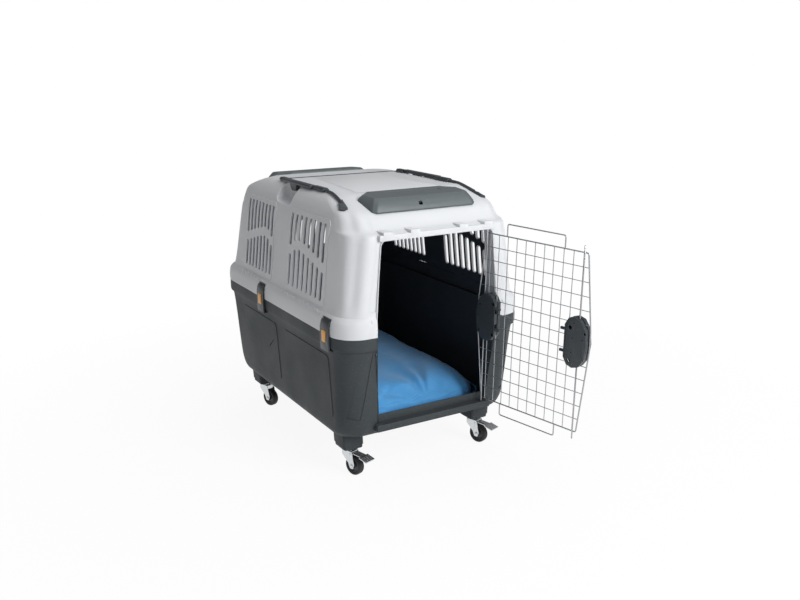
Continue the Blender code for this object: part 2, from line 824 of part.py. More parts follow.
def foot_shape(side, grow=0.0):
    """The foot at the front end of a rail, laid along the shell's shoulder."""
    x = RAIL_X + 0.014
    step = 0.008
    here = Vector((x, FOOT_Y, roof_height(x, FOOT_Y)))
    along = Vector((x + step * 0.35, FOOT_Y - step, 0))
    along.z = roof_height(along.x, along.y)
    across = Vector((x + step, FOOT_Y + step * 0.35, 0))
    across.z = roof_height(across.x, across.y)
    forward = (along - here).normalized()
    outward = (across - here - forward * (across - here).dot(forward)).normalized()
    upward = forward.cross(outward).normalized()
    if upward.z < 0:
        upward.negate()
    half = FOOT_LENGTH / 2 + grow
    outline = (
        (-half, -0.005 - grow),
        (half * 0.7, -0.013 - grow),
        (half, 0.0),
        (half * 0.7, 0.013 + grow),
        (-half, 0.006 + grow),
    )
    rings = []
    for level in (-0.0020 - grow, 0.0048 + (0.01 if grow else 0.0)):
        rings.append([here + forward * a + outward * b + upward * level for a, b in outline])
    shape = loft(rings)
    return shape if side > 0 else mirrored(shape, "X")


def knob_shape(side, y_low, y_high, grow=0.0):
    """A low rounded block on the roof that carries one end of a grip's pin."""
    outline = (
        (GRIP_X - 0.008, FIT),
        (GRIP_X + 0.010, FIT),
        (GRIP_X + 0.013, 0.006),
        (GRIP_X + 0.008, 0.0115),
        (GRIP_X - 0.005, 0.0115),
        (GRIP_X - 0.009, 0.006),
    )
    level = [(side * x, z + ROOF) for x, z in outline]
    return prism(level, "Y", y_low - grow, y_high + grow)


def grip_axis_height():
    """Height of the grips' hinge pins."""
    return ROOF + GRIP_LIFT


def pin_bore(side, low, high):
    """A bore for a grip's pin."""
    centre = (side * GRIP_X, grip_axis_height())
    return prism(circle(GRIP_PIN + FIT, 10, centre), "Y", low, high)


def stretched(path):
    """A path with both ends drawn out by a clearance."""
    points = [Vector(p) for p in path]
    first = points[0] + (points[0] - points[1]).normalized() * 2 * FIT
    last = points[-1] + (points[-1] - points[-2]).normalized() * 2 * FIT
    return [first] + points[1:-1] + [last]


def rail_groove():
    """What the rails press into the roof: the same lines, a clearance wider."""
    up = Vector((0, 0, 1))
    lines = (
        (rail_path(1), SHOULDER_RAIL_RADIUS),
        (rail_path(-1), SHOULDER_RAIL_RADIUS),
        (crossbar_path(), CROSSBAR_RADIUS),
    )
    return gather(*[sweep(stretched(line), radius + FIT, RAIL_SIDES, up) for line, radius in lines])


def build_front_rail(name, side):
    """A front roof rail: knob, rail and foot in one moulding."""
    up = Vector((0, 0, 1))
    line = sweep(rail_path(side), SHOULDER_RAIL_RADIUS, RAIL_SIDES, up)
    rail = piece(name, line, "black_plastic", smooth=40)
    high = GRIP_FRONT - 0.0008
    knob = piece(name + "_knob", knob_shape(side, high - KNOB_LENGTH, high))
    combine(rail, knob, "UNION")
    combine(rail, piece(name + "_foot", foot_shape(side)), "UNION")
    combine(rail, piece(name + "_bore", pin_bore(side, high - 0.007, high + 0.010)), "DIFFERENCE")
    return rail


def build_rear_rail():
    """The rear roof rail that joins the two grips across the roof."""
    up = Vector((0, 0, 1))
    line = sweep(crossbar_path(), CROSSBAR_RADIUS, RAIL_SIDES, up)
    rail = piece("rear_roof_rail", line, "black_plastic", smooth=40)
    low = GRIP_REAR + 0.0008
    for side, word in ((1, "right"), (-1, "left")):
        block = piece("rear_rail_block_" + word, knob_shape(side, low, low + 0.038))
        combine(rail, block, "UNION")
        bore = piece("rear_rail_bore_" + word, pin_bore(side, low - 0.010, low + 0.007))
        combine(rail, bore, "DIFFERENCE")
    return rail


def build_grip(name, side):
    """A carry grip that lies along the roof edge and folds up about its inner edge."""
    axis_z = grip_axis_height()
    bottom = ROOF + 0.0018 - axis_z
    inner, outer = -0.0030, GRIP_WIDTH - 0.0030
    corners = (
        (inner, bottom),
        (outer, bottom),
        (outer, bottom + GRIP_THICKNESS),
        (inner, bottom + GRIP_THICKNESS),
    )
    section = filleted(corners, (0.0015, 0.004, 0.004, 0.003), steps=2)
    axis = guide(name + "_axis", Matrix.Translation((side * GRIP_X, 0, axis_z)))
    bar = prism([(side * a, b) for a, b in section], "Y", GRIP_FRONT, GRIP_REAR)
    grip = piece(name, bar, "black_plastic", axis, smooth=40)
    lobe_points = ((-0.030, 0.004), (-0.020, -0.024), (0.010, -0.024), (0.026, 0.004))
    lobe_outline = filleted(lobe_points, 0.012, steps=3)
    lobe = prism(lobe_outline, "X", 0.003, 0.015)
    if side < 0:
        mirrored(lobe, "X")
    moved(lobe, Matrix.Translation((0, LOBE_PLACE, 0)))
    combine(grip, piece(name + "_lobe", lobe, parent=axis), "UNION")
    reach = 0.0055
    pin = prism(circle(GRIP_PIN, 10), "Y", GRIP_FRONT - reach, GRIP_REAR + reach)
    combine(grip, piece(name + "_pin", pin, parent=axis), "UNION")
    return grip


def build_shell():
    """The upper half of the body."""
    shell = piece("top_shell", loft([plan_ring(s) for s in SHELL_SECTIONS]), "shell_grey")
    ledge = box(
        (-LEDGE_HALF, LEDGE_FRONT, OPENING_TOP - 0.001),
        (LEDGE_HALF, FRONT + 0.022, OPENING_TOP + LEDGE_HEIGHT),
    )
    lugs = []
    for x in (HINGE_X, INNER_LUG_X, -INNER_LUG_X, -HINGE_X):
        lugs.append(box(
            (x - LUG_HALF, LEDGE_FRONT, OPENING_TOP + 0.004),
            (x + LUG_HALF, LEDGE_FRONT + LUG_LENGTH, OPENING_TOP + LEDGE_HEIGHT + LUG_RISE),
        ))
    combine(shell, piece("front_ledge", ledge), "UNION")
    combine(shell, piece("front_lugs", gather(*lugs)), "UNION")
    corners = (PANEL_FRONT, PANEL_REAR)
    outline = list(corners) + [(-x, y) for x, y in reversed(corners)]
    panel = loft([[(x, y, z) for x, y in outline] for z in (ROOF - 0.001, ROOF + PANEL_RISE)])
    combine(shell, piece("roof_panel", panel), "UNION")

    inner = [(SEAM - 0.010, *SHELL_SECTIONS[0][1:])]
    inner += [(s[0] - WALL, *s[1:]) for s in SHELL_SECTIONS[1:]]
    cavity = piece("shell_cavity", loft([plan_ring(s, WALL) for s in inner]))
    keeps = {
        "shell_reveal_keep": prism(opening_outline(REVEAL_WALL), "Y", FRONT - OVERRUN, REVEAL_END),
        "recess_keep": gather(hand_recess(WALL), mirrored(hand_recess(WALL), "X")),
        "compartment_keep": gather(compartment(-1, 0.003), compartment(1, 0.003)),
        "clip_keep": at_clips(lambda: clip_recess(0.003)),
    }
    for name, shape in keeps.items():
        combine(cavity, piece(name, shape), "DIFFERENCE")
    combine(shell, cavity, "DIFFERENCE")

    bore = circle(TRUNNION + FIT, 8, CLIP_PIVOT)
    pivots = at_clips(lambda: prism(bore, "Y", -CLIP_HALF - 0.0040, CLIP_HALF + 0.0040))
    cuts = {
        "shell_mouth": prism(opening_outline(), "Y", FRONT - OVERRUN, REVEAL_END + 0.030),
        "hand_recesses": gather(hand_recess(), mirrored(hand_recess(), "X")),
        "lid_seats": gather(lid_seat(-1), lid_seat(1)),
        "compartments": gather(compartment(-1), compartment(1)),
        "clip_recesses": at_clips(clip_recess),
        "clip_pivot_bores": pivots,
        "side_vents": vent_cutters(),
        "rear_vents": rear_vent_cutters(),
        "rail_groove": rail_groove(),
        "foot_seats": gather(foot_shape(1, FIT), foot_shape(-1, FIT)),
        "ledge_sockets": rod_sockets(OPENING_TOP - 0.004, OPENING_TOP + ROD_BITE + 0.001),
    }
    for name, shape in cuts.items():
        combine(shell, piece(name, shape), "DIFFERENCE")
    return shell


def build_clip(side, word, place, y):
    """A side clip that hangs on the shell's rim and hooks under the tub's."""
    name = f"clip_{word}_{place}"
    pivot = Matrix.Translation((side * CLIP_PIVOT[0], y, CLIP_PIVOT[1]))
    axis = guide(name + "_axis", pivot)
    local = [(side * (x - CLIP_PIVOT[0]), z - CLIP_PIVOT[1]) for x, z in clip_section()]
    clip = piece(name, prism(local, "Y", -CLIP_HALF, CLIP_HALF), "black_plastic", axis)
    pin = prism(circle(TRUNNION, 8), "Y", -CLIP_HALF - 0.0035, CLIP_HALF + 0.0035)
    combine(clip, piece(name + "_pin", pin, parent=axis), "UNION")

    face = SIDE + CLIP_GAP + CLIP_THICKNESS - CLIP_PIVOT[0]
    middle = SEAM - 0.002 - CLIP_PIVOT[1]
    low, high = middle - BUTTON_HEIGHT / 2, middle + BUTTON_HEIGHT / 2
    corners = ((-BUTTON_HALF, low), (BUTTON_HALF, low), (BUTTON_HALF, high), (-BUTTON_HALF, high))

    def button(grow, inner, outer):
        outline = [
            (math.copysign(abs(a) + grow, a), b + math.copysign(grow, b - middle))
            for a, b in filleted(corners, 0.004, steps=2)
        ]
        return prism(outline, "X", side * inner, side * outer)

    depth = 0.0038
    combine(clip, piece(name + "_pocket", button(FIT, face - depth, face + 0.010), parent=axis), "DIFFERENCE")
    rest = face - depth + BUTTON_TRAVEL + FIT
    piece(f"clip_button_{word}_{place}", button(0.0, rest, face + 0.0022), "orange_plastic", axis)
    return clip


def door_half_width(height):
    """The door frame's half width at a height measured from the door's middle."""
    points = door_outline_points()
    for (x0, z0), (x1, z1) in zip(points, points[1:]):
        if z0 <= height <= z1:
            return x0 + (x1 - x0) * (height - z0) / (z1 - z0)
    return points[0][0]


def door_outline_points():
    """Right half of the door frame's outline, bottom to top."""
    return (
        (OPENING_BOTTOM_HALF - DOOR_BOTTOM_GAP, DOOR_BOTTOM),
        (OPENING_MID_HALF - DOOR_MID_GAP, DOOR_MID_LOW),
        (OPENING_MID_HALF - DOOR_MID_GAP, DOOR_MID_HIGH),
        (OPENING_TOP_HALF - DOOR_TOP_GAP, DOOR_TOP),
    )


def in_door(x, z, inward=0.0):
    """A point of the door's plane, from the door's middle to the hinge axis's frame."""
    return (x - HINGE_X, inward - MESH_OFFSET, z)


def build_wire_door(axis):
    """The welded door: barrel-shaped frame, mesh and the two stop loops."""
    half = door_outline_points()
    outline = half + tuple((-x, z) for x, z in reversed(half))
    bent = filleted(outline, (0.008, 0.15, 0.15, 0.008, 0.008, 0.15, 0.15, 0.008), steps=3)
    across = Vector((0, 1, 0))
    frame = sweep([in_door(x, z) for x, z in bent], FRAME_WIRE, 6, across, closed=True)
    door = piece("wire_door", frame, "steel_wire", axis, smooth=50)

    uprights = []
    for i in range(VERTICAL_WIRES):
        x = (i - (VERTICAL_WIRES - 1) / 2) * VERTICAL_PITCH
        low = in_door(x - MESH_WIRE, DOOR_BOTTOM, -0.0017)
        high = in_door(x + MESH_WIRE, DOOR_TOP, 0.0007)
        uprights.append(box(low, high))
    combine(door, piece("door_uprights", gather(*uprights), parent=axis), "UNION")

    crossings = []
    pitch = (DOOR_TOP - DOOR_BOTTOM) / (HORIZONTAL_WIRES + 1)
    for i in range(HORIZONTAL_WIRES):
        z = DOOR_BOTTOM + pitch * (i + 1)
        reach = door_half_width(z)
        low = in_door(-reach, z - MESH_WIRE, -0.0007)
        high = in_door(reach, z + MESH_WIRE, 0.0017)
        crossings.append(box(low, high))
    combine(door, piece("door_crossings", gather(*crossings), parent=axis), "UNION")

    loops = []
    for level, rise in ((DOOR_TOP, LOOP_HEIGHT), (DOOR_BOTTOM, -LOOP_HEIGHT)):
        corners = ((-LOOP_HALF, level), (-LOOP_HALF, level + rise), (LOOP_HALF, level + rise), (LOOP_HALF, level))
        bent = filleted(corners, (0.0, 0.006, 0.006, 0.0), steps=2)
        loops.append(sweep([in_door(x, z) for x, z in bent], FRAME_WIRE * 0.95, 6, across))
    combine(door, piece("door_loops", gather(*loops), parent=axis), "UNION")
    return door


def latch_outline(side, inset=0.0):
    """A latch housing's outline about its rod, in (x, z) of the door's middle."""
    inner = HINGE_X - LATCH_INNER + inset
    outer = HINGE_X + LATCH_OUTER - inset
    top = LATCH_HALF_HEIGHT - inset
    points = (
        (inner, -top + 0.026),
        (inner + 0.012, -top + 0.006),
        (inner + 0.030, -top),
        (outer - 0.022, -top + 0.006),
        (outer - 0.005, -top + 0.030),
        (outer, 0.0),
        (outer - 0.005, top - 0.030),
        (outer - 0.022, top - 0.006),
        (inner + 0.030, top),
        (inner + 0.012, top - 0.006),
        (inner, top - 0.026),
    )
    return [(side * x, z) for x, z in points]


def build_latch_half(name, side, facing, axis):
    """One half of a latch housing; facing is 1 for the half inside the cabin."""
    near = facing * LATCH_GAP
    far = facing * (LATCH_GAP + LATCH_DEPTH)

    def block(outline, low, high):
        rings = [[in_door(x, z, level) for x, z in outline] for level in (low, high)]
        return loft(rings)

    half = piece(name, block(latch_outline(side), near, far), "black_plastic", axis)
    hollow = block(latch_outline(side, LATCH_WALL), near - facing * 0.005, far - facing * LATCH_WALL)
    combine(half, piece(name + "_hollow", hollow, parent=axis), "DIFFERENCE")
    if facing > 0:
        slots = []
        inner = HINGE_X - LATCH_INNER
        for sign in (1, -1):
            low = sign * (TAB_LEVEL - ROD_TRAVEL) - TAB_HEIGHT / 2 - RUN
            high = sign * TAB_LEVEL + TAB_HEIGHT / 2 + RUN
            if sign < 0:
                low = -TAB_LEVEL - TAB_HEIGHT / 2 - RUN
                high = -(TAB_LEVEL - ROD_TRAVEL) + TAB_HEIGHT / 2 + RUN
            ends = sorted((side * (inner - 0.004), side * (inner + 0.006)))
            corner_low = in_door(ends[0], low, near + 0.0008)
            corner_high = in_door(ends[1], high, far - LATCH_WALL + 0.0002)
            slots.append(box(corner_low, corner_high))
        combine(half, piece(name + "_tab_slots", gather(*slots), parent=axis), "DIFFERENCE")
        place = in_door(side * HINGE_X, 0.0)[0]
        bore = rod(ROD_RADIUS + RUN, -LATCH_HALF_HEIGHT - 0.01, LATCH_HALF_HEIGHT + 0.01, centre=(place, 0.0))
        combine(half, piece(name + "_rod_bore", bore, parent=axis), "DIFFERENCE")
    return half


def build_slider(name, side, sign, axis):
    """The plastic slider in a latch, with the finger tab that sticks out of the housing."""
    centre = in_door(side * HINGE_X, 0.0)[0]
    near = LATCH_GAP + 0.0018 - MESH_OFFSET
    far = LATCH_GAP + LATCH_DEPTH - LATCH_WALL - 0.0006 - MESH_OFFSET
    middle = sign * TAB_LEVEL
    body = box(
        (centre - SLIDER_HALF, near, middle - SLIDER_HEIGHT / 2),
        (centre + SLIDER_HALF, far, middle + SLIDER_HEIGHT / 2),
    )
    slider = piece(name, body, "black_plastic", axis)
    reach = in_door(side * (HINGE_X - LATCH_INNER - TAB_REACH), 0.0)[0]
    ends = sorted((reach, centre))
    arm = box(
        (ends[0], near + 0.0006, middle - TAB_HEIGHT / 2),
        (ends[1], far - 0.0006, middle + TAB_HEIGHT / 2),
    )
    combine(slider, piece(name + "_tab", arm, parent=axis), "UNION")
    start = middle - sign * 0.002
    end = middle + sign * (SLIDER_HEIGHT / 2 + 0.005)
    bore = rod(ROD_RADIUS + FIT, min(start, end), max(start, end), centre=(centre, 0.0))
    combine(slider, piece(name + "_bore", bore, parent=axis), "DIFFERENCE")
    return slider


def build_rod(name, side, sign, axis):
    """A latch rod from its slider to its socket in the ledge or the sill."""
    centre = in_door(side * HINGE_X, 0.0)[0]
    start = sign * TAB_LEVEL - sign * 0.0015
    if sign > 0:
        end = (OPENING_TOP + ROD_BITE - DOOR_REFERENCE) / math.cos(LEAN) - 0.0006
    else:
        end = (SILL_TOP - ROD_BITE + 0.001 - DOOR_REFERENCE) / math.cos(LEAN) + 0.0006
    low, high = sorted((start, end))
    return piece(name, rod(ROD_RADIUS, low, high, centre=(centre, 0.0)), "steel_wire", axis, smooth=50)


def build_spring(name, side, axis):
    """The compression spring between a latch's two sliders."""
    centre = in_door(side * HINGE_X, 0.0)[0]
    length = 2 * (TAB_LEVEL - SLIDER_HEIGHT / 2 - FIT * 2)
    steps = SPRING_TURNS * SPRING_STEPS
    path = []
    for i in range(steps + 1):
        angle = 2 * math.pi * i / SPRING_STEPS
        height = -length / 2 + length * i / steps
        path.append((centre + SPRING_RADIUS * math.cos(angle), SPRING_RADIUS * math.sin(angle) * 0.9, height))
    coil = sweep(path, SPRING_WIRE, 4, Vector((0, 0, 1)))
    return piece(name, coil, "steel_wire", axis, smooth=60)


def build_door():
    """The door and its latches, on the leaning hinge axis and swung open."""
    place = Matrix.Translation((HINGE_X, hinge_y(DOOR_REFERENCE), DOOR_REFERENCE))
    turn = Matrix.Rotation(LEAN, 4, "X") @ Matrix.Rotation(math.radians(DOOR_OPEN_DEG), 4, "Z")
    axis = guide("door_axis", place @ turn)
    build_wire_door(axis)
    for side, word in ((1, "hinge"), (-1, "free")):
        build_latch_half(f"{word}_latch_inner_cover", side, 1, axis)
        build_latch_half(f"{word}_latch_outer_cover", side, -1, axis)
        for sign, level in ((1, "upper"), (-1, "lower")):
            build_slider(f"{word}_{level}_slider", side, sign, axis)
            build_rod(f"{word}_{level}_rod", side, sign, axis)
        build_spring(f"{word}_latch_spring", side, axis)


def cheek_outline():
    """The side view of a fork's cheek in (y, z), about the stem at floor level."""
    plate = CASTER_HEIGHT - 0.0100
    return filleted((
        (0.014, plate),
        (-0.024, plate),
        (-TRAIL - 0.011, WHEEL_RADIUS + 0.006),
        (-TRAIL - 0.006, WHEEL_RADIUS - 0.008),
        (-TRAIL + 0.006, WHEEL_RADIUS - 0.008),
        (-TRAIL + 0.013, WHEEL_RADIUS + 0.008),
        (0.014, plate - 0.014),
    ), 0.004, steps=2)


def build_caster(word, x, y, braked):
    """One swivel caster: stem, fork, axle, hub, tyre and, in front, a brake pedal."""
    heading = Matrix.Rotation(math.radians(CASTER_HEADING_DEG), 4, "Z")
    swivel = guide(f"caster_{word}_axis", Matrix.Translation((x, y, 0)) @ heading)
    plate_top = CASTER_HEIGHT - 0.0100
    plate_low = plate_top - 0.0025
    stem = turned((
        (0.0080, plate_low - 0.0040),
        (0.0080, plate_low - 0.0006),
        (0.0045, plate_low - 0.0006),
        (0.0045, plate_top + 0.0005),
        (0.0150, plate_top + 0.0005),
        (0.0160, plate_top + 0.0045),
        (0.0140, CASTER_HEIGHT),
        (STEM_RADIUS, CASTER_HEIGHT),
        (STEM_RADIUS, CASTER_HEIGHT + STEM_LENGTH),
    ), sides=12)
    piece(f"caster_{word}_stem", moved(stem, Matrix.Translation((x, y, 0))), "zinc_plate", smooth=40)

    cheek_inner = WHEEL_WIDTH / 2 + CHEEK_GAP
    cheek_outer = cheek_inner + CHEEK
    plate = box((-cheek_outer, -0.024, plate_low), (cheek_outer, 0.014, plate_top))
    fork = piece(f"caster_{word}_fork", plate, "zinc_plate", swivel)
    cheeks = []
    for sign in (1, -1):
        levels = sorted((sign * cheek_inner, sign * (cheek_outer + 0.0002)))
        cheeks.append(prism(cheek_outline(), "X", *levels))
    combine(fork, piece(f"caster_{word}_cheeks", gather(*cheeks), parent=swivel), "UNION")
    holes = [rod(0.0050, plate_low - 0.004, plate_top + 0.004)]
    holes.append(rod(AXLE_RADIUS + RUN, -0.03, 0.03, axis="X", centre=(-TRAIL, WHEEL_RADIUS)))
    pivot = (-0.018, plate_low - 0.0055)
    if braked:
        holes.append(rod(0.0022 + RUN, -0.031, 0.031, axis="X", centre=pivot, sides=10))
    combine(fork, piece(f"caster_{word}_holes", gather(*holes), parent=swivel), "DIFFERENCE")

    wheel = guide(f"caster_{word}_wheel_axis", Matrix.Translation((0, -TRAIL, WHEEL_RADIUS)), swivel)
    reach = cheek_outer + 0.0006
    axle = turned((
        (0.0048, -reach - 0.0020),
        (0.0048, -reach),
        (AXLE_RADIUS, -reach),
        (AXLE_RADIUS, reach),
        (0.0048, reach),
        (0.0048, reach + 0.0020),
    ), axis="X", sides=10)
    piece(f"caster_{word}_axle", axle, "zinc_plate", wheel, smooth=40)
    hub_radius = WHEEL_RADIUS - 0.0095
    half = WHEEL_WIDTH / 2
    hub = ring_solid((
        (AXLE_RADIUS + RUN, -half),
        (0.008, -half),
        (0.010, -half + 0.004),
        (hub_radius, -half + 0.002),
        (hub_radius, half - 0.002),
        (0.010, half - 0.004),
        (0.008, half),
        (AXLE_RADIUS + RUN, half),
    ), 14)
    piece(f"caster_{word}_hub", hub, "black_plastic", wheel, smooth=40)
    tyre = ring_solid((
        (hub_radius + FIT * 1.6, -half + 0.001),
        (WHEEL_RADIUS - 0.003, -half),
        (WHEEL_RADIUS, -half + 0.005),
        (WHEEL_RADIUS, half - 0.005),
        (WHEEL_RADIUS - 0.003, half),
        (hub_radius + FIT * 1.6, half - 0.001),
    ), WHEEL_SIDES)
    piece(f"caster_{word}_tyre", tyre, "black_rubber", wheel, smooth=40)

    if braked:
        pedal_axis = guide(f"caster_{word}_pedal_axis", Matrix.Translation((0, *pivot)), swivel)
        outline = ((0.005, 0.0025), (-0.012, 0.0035), (-0.045, 0.0015), (-PEDAL_LENGTH, -0.0055))
        profile = list(outline) + [(a, b - 0.0022) for a, b in reversed(outline)]
        tongue = prism(profile, "X", -cheek_inner + 0.0008, cheek_inner - 0.0008)
        pedal = piece(f"caster_{word}_brake_pedal", tongue, "zinc_plate", pedal_axis)
        pin = rod(0.0022, -cheek_outer - 0.001, cheek_outer + 0.001, axis="X", sides=10)
        combine(pedal, piece(f"caster_{word}_pedal_pin", pin, parent=pedal_axis), "UNION")
        end = -PEDAL_LENGTH - 0.001
        edge = ((-0.041, 0.0022), (end, -0.0052), (end, -0.0082), (-0.041, -0.0008))
        tread = prism(edge, "X", -0.019, 0.019)
        combine(pedal, piece(f"caster_{word}_pedal_tread", tread, parent=pedal_axis), "UNION")


def cushion_shape():
    """The floor cushion: crowned on top, flat below, drawn in between its corners."""
    floor = TUB_BOTTOM + FLOOR_THICKNESS + FIT
    section = TUB_SECTIONS[1]
    half_x = SIDE - section[1] - WALL - CUSHION_MARGIN
    front = FRONT + section[2] + WALL + CUSHION_MARGIN
    rear = REAR - section[3] - WALL - CUSHION_MARGIN
    middle_y, half_y = (front + rear) / 2, (rear - front) / 2
    levels = ((0.00, 0.90), (0.10, 0.965), (0.30, 1.00), (0.60, 0.985))
    ring_points = []
    count = 2 * (CUSHION_STEPS_X + CUSHION_STEPS_Y)
    for i in range(count):
        angle = 2 * math.pi * i / count
        c, s = math.cos(angle), math.sin(angle)
        power = 0.28
        x = math.copysign(abs(c) ** power, c)
        y = math.copysign(abs(s) ** power, s)
        pull = 1 - 0.030 * (1 - min(abs(x), abs(y)) ** 2)
        ring_points.append((x * pull, y * pull))
    rings = []
    for share, reach in levels:
        rings.append([
            (x * reach * half_x, middle_y + y * reach * half_y, floor + share * CUSHION_HEIGHT * 0.62)
            for x, y in ring_points
        ])
    for reach in (0.95, 0.86, 0.70, 0.45, 0.15):
        crown = 0.55 + 0.45 * (1 - reach ** 3) ** 0.5
        rings.append([
            (x * reach * half_x, middle_y + y * reach * half_y, floor + crown * CUSHION_HEIGHT)
            for x, y in ring_points
        ])
    return loft(rings)


def build_crate():
    """Every piece of the crate."""
    build_tub()
    build_shell()
    build_lid("front_lid", -1)
    build_lid("rear_lid", 1)
    build_rear_rail()
    for side, word in ((-1, "left"), (1, "right")):
        build_front_rail(f"{word}_front_roof_rail", side)
        build_grip(f"{word}_carry_grip", side)
        for place, y in CLIP_POSITIONS.items():
            build_clip(side, word, place, y)
    build_door()
    for end, y in (("front", -CASTER_Y), ("rear", CASTER_Y)):
        for word, x in (("left", -CASTER_X), ("right", CASTER_X)):
            build_caster(f"{end}_{word}", x, y, end == "front")
    piece("floor_cushion", cushion_shape(), "blue_cloth", smooth=60)


def place_on_origin():
    """Move everything built so far onto the crate's origin."""
    drawn = [made for made in bpy.data.objects if made.parent is None]
    origin = guide("crate_origin", Matrix.Translation((0, ORIGIN_SHIFT, 0)))
    for made in drawn:
        made.parent = origin


clear_scene()
build_crate()
place_on_origin()
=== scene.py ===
"""Looks for the pet travel crate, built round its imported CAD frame.

Metres, +Z up, with the door end towards -Y. Each sub-assembly is a class whose fields hold its
sizes, and main builds them in order. Pieces are drawn round the middle of the body, and each is
moved onto the crate's origin when it is handed to the frame.
"""
from __future__ import annotations

import json
import logging
import math
from dataclasses import dataclass, field, replace
from enum import Enum
from typing import Callable, Iterable, Sequence

import bmesh
import bpy
from mathutils import Matrix, Vector

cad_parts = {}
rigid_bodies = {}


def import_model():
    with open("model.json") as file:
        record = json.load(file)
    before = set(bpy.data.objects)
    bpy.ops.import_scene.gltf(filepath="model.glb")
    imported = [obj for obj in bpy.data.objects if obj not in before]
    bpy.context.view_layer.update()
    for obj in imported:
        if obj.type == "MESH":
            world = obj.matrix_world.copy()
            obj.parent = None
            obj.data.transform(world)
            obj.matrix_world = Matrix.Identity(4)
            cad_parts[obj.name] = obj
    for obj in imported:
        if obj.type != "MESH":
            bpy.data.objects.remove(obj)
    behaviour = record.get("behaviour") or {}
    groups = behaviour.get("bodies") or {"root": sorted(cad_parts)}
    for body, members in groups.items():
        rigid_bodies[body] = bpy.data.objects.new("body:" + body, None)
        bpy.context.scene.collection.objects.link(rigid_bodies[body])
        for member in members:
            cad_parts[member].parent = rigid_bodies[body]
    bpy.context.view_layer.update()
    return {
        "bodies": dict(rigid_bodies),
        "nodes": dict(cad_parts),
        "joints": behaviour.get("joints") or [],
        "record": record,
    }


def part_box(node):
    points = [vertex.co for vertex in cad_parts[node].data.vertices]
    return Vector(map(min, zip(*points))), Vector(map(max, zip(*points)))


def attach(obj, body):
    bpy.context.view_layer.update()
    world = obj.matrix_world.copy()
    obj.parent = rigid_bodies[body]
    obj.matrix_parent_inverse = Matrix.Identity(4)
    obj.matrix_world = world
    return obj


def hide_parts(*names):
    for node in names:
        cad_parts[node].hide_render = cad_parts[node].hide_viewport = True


LOG = logging.getLogger("pet_crate")
Point2 = tuple[float, float]
Point3 = tuple[float, float, float]
Colour = tuple[float, float, float, float]
Place = Callable[[float, float, float], Point3]
Shape = bmesh.types.BMesh
Piece = bpy.types.Object
Material = bpy.types.Material
Tree = bpy.types.NodeTree
Socket = bpy.types.NodeSocket

# Body sizes, as the CAD states them
SIDE = 0.315
FRONT = -0.460
REAR = 0.460
TUB_BOTTOM = 0.136
SEAM = 0.456
ROOF = 0.826
WALL = 0.004
OPENING_TOP = 0.724
SILL_TOP = 0.186
REVEAL_END = -0.4075
LEDGE_FRONT = -0.4565
HINGE_X = SIDE - 0.147
GRIP_X = SIDE - 0.1005
CLIP_PLACES = (FRONT + 0.100, 0.106)
CASTER_X = SIDE - 0.0875
CASTER_Y = REAR - 0.140
SLOPE_RUN = 0.125
SLOPE = math.atan2(0.039, SLOPE_RUN)
SLOPE_LENGTH = SLOPE_RUN / math.cos(SLOPE)

# From the middle of the body, where pieces are drawn, to the crate's origin
BODY_SHIFT = 0.1725
ONTO_ORIGIN = Matrix.Translation((0.0, BODY_SHIFT, 0.0))

# The middle part of a noise pattern's range, and a mix node's colour sockets, two in and one out
PATTERN_MIDDLE = {"From Min": 0.3, "From Max": 0.7}
FIRST_COLOUR, SECOND_COLOUR, MIXED_COLOUR = 6, 7, 2

# Pieces that copy a CAD node: points nearer than this many metres are merged, faces flat within
# this many degrees are joined, and edges sharper than this many degrees are rounded
MERGED_WITHIN = 2e-5
JOINED_WITHIN = 1.0
ROUNDED_ABOVE = 32.0


class Slot(Enum):
    """The record's material slots."""

    SHELL = "shell_grey"
    TUB = "tub_grey"
    LID = "lid_grey"
    BLACK = "black_plastic"
    ORANGE = "orange_plastic"
    WIRE = "steel_wire"
    ZINC = "zinc_plate"
    RUBBER = "black_rubber"
    CLOTH = "blue_cloth"


class End(Enum):
    """An end of the crate, as the sign of its Y."""

    DOOR = -1
    BACK = 1


def linear(code: str) -> Colour:
    """Turn an sRGB hex code into a linear colour.

    Args:
        code: six hex digits with a leading hash.

    Returns:
        Linear red, green, blue and an alpha of one.
    """
    channels = [int(code[i:i + 2], 16) / 255 for i in (1, 3, 5)]
    turned = [c / 12.92 if c <= 0.04045 else ((c + 0.055) / 1.055) ** 2.4 for c in channels]
    return (turned[0], turned[1], turned[2], 1.0)


def dimmed(colour: Colour, share: float) -> Colour:
    """A colour with its light cut to a share."""
    return tuple(channel * share for channel in colour[:3]) + (1.0,)


def clamped(value: float) -> float:
    """The value, held between 0 and 1."""
    return min(max(value, 0.0), 1.0)


def feed(tree: Tree, node: bpy.types.Node, links: dict, values: dict) -> None:
    """Give a node's input sockets their values and links.

    Args:
        tree: the node tree.
        node: the node.
        links: input socket name or index to the output socket that feeds it.
        values: input socket name or index to its own value.
    """
    for key, value in values.items():
        node.inputs[key].default_value = value
    for key, socket in links.items():
        tree.links.new(socket, node.inputs[key])


def add_node(
    tree: Tree, kind: str, links: dict | None = None, values: dict | None = None,
    **settings: object,
) -> bpy.types.Node:
    """Add a node with its settings, socket values and incoming links.

    Args:
        tree: the node tree that takes the node.
        kind: the node's type name.
        links: input socket name or index to the output socket that feeds it.
        values: input socket name or index to its own value.
        **settings: the node's properties.

    Returns:
        The new node.
    """
    node = tree.nodes.new(kind)
    for key, value in settings.items():
        setattr(node, key, value)
    feed(tree, node, links or {}, values or {})
    return node


def cleared(owner: Material | bpy.types.World) -> Tree:
    """Switch on the nodes of a material or a world and empty its tree.

    Args:
        owner: the material or world.

    Returns:
        The empty tree.
    """
    owner.use_nodes = True
    owner.node_tree.nodes.clear()
    return owner.node_tree


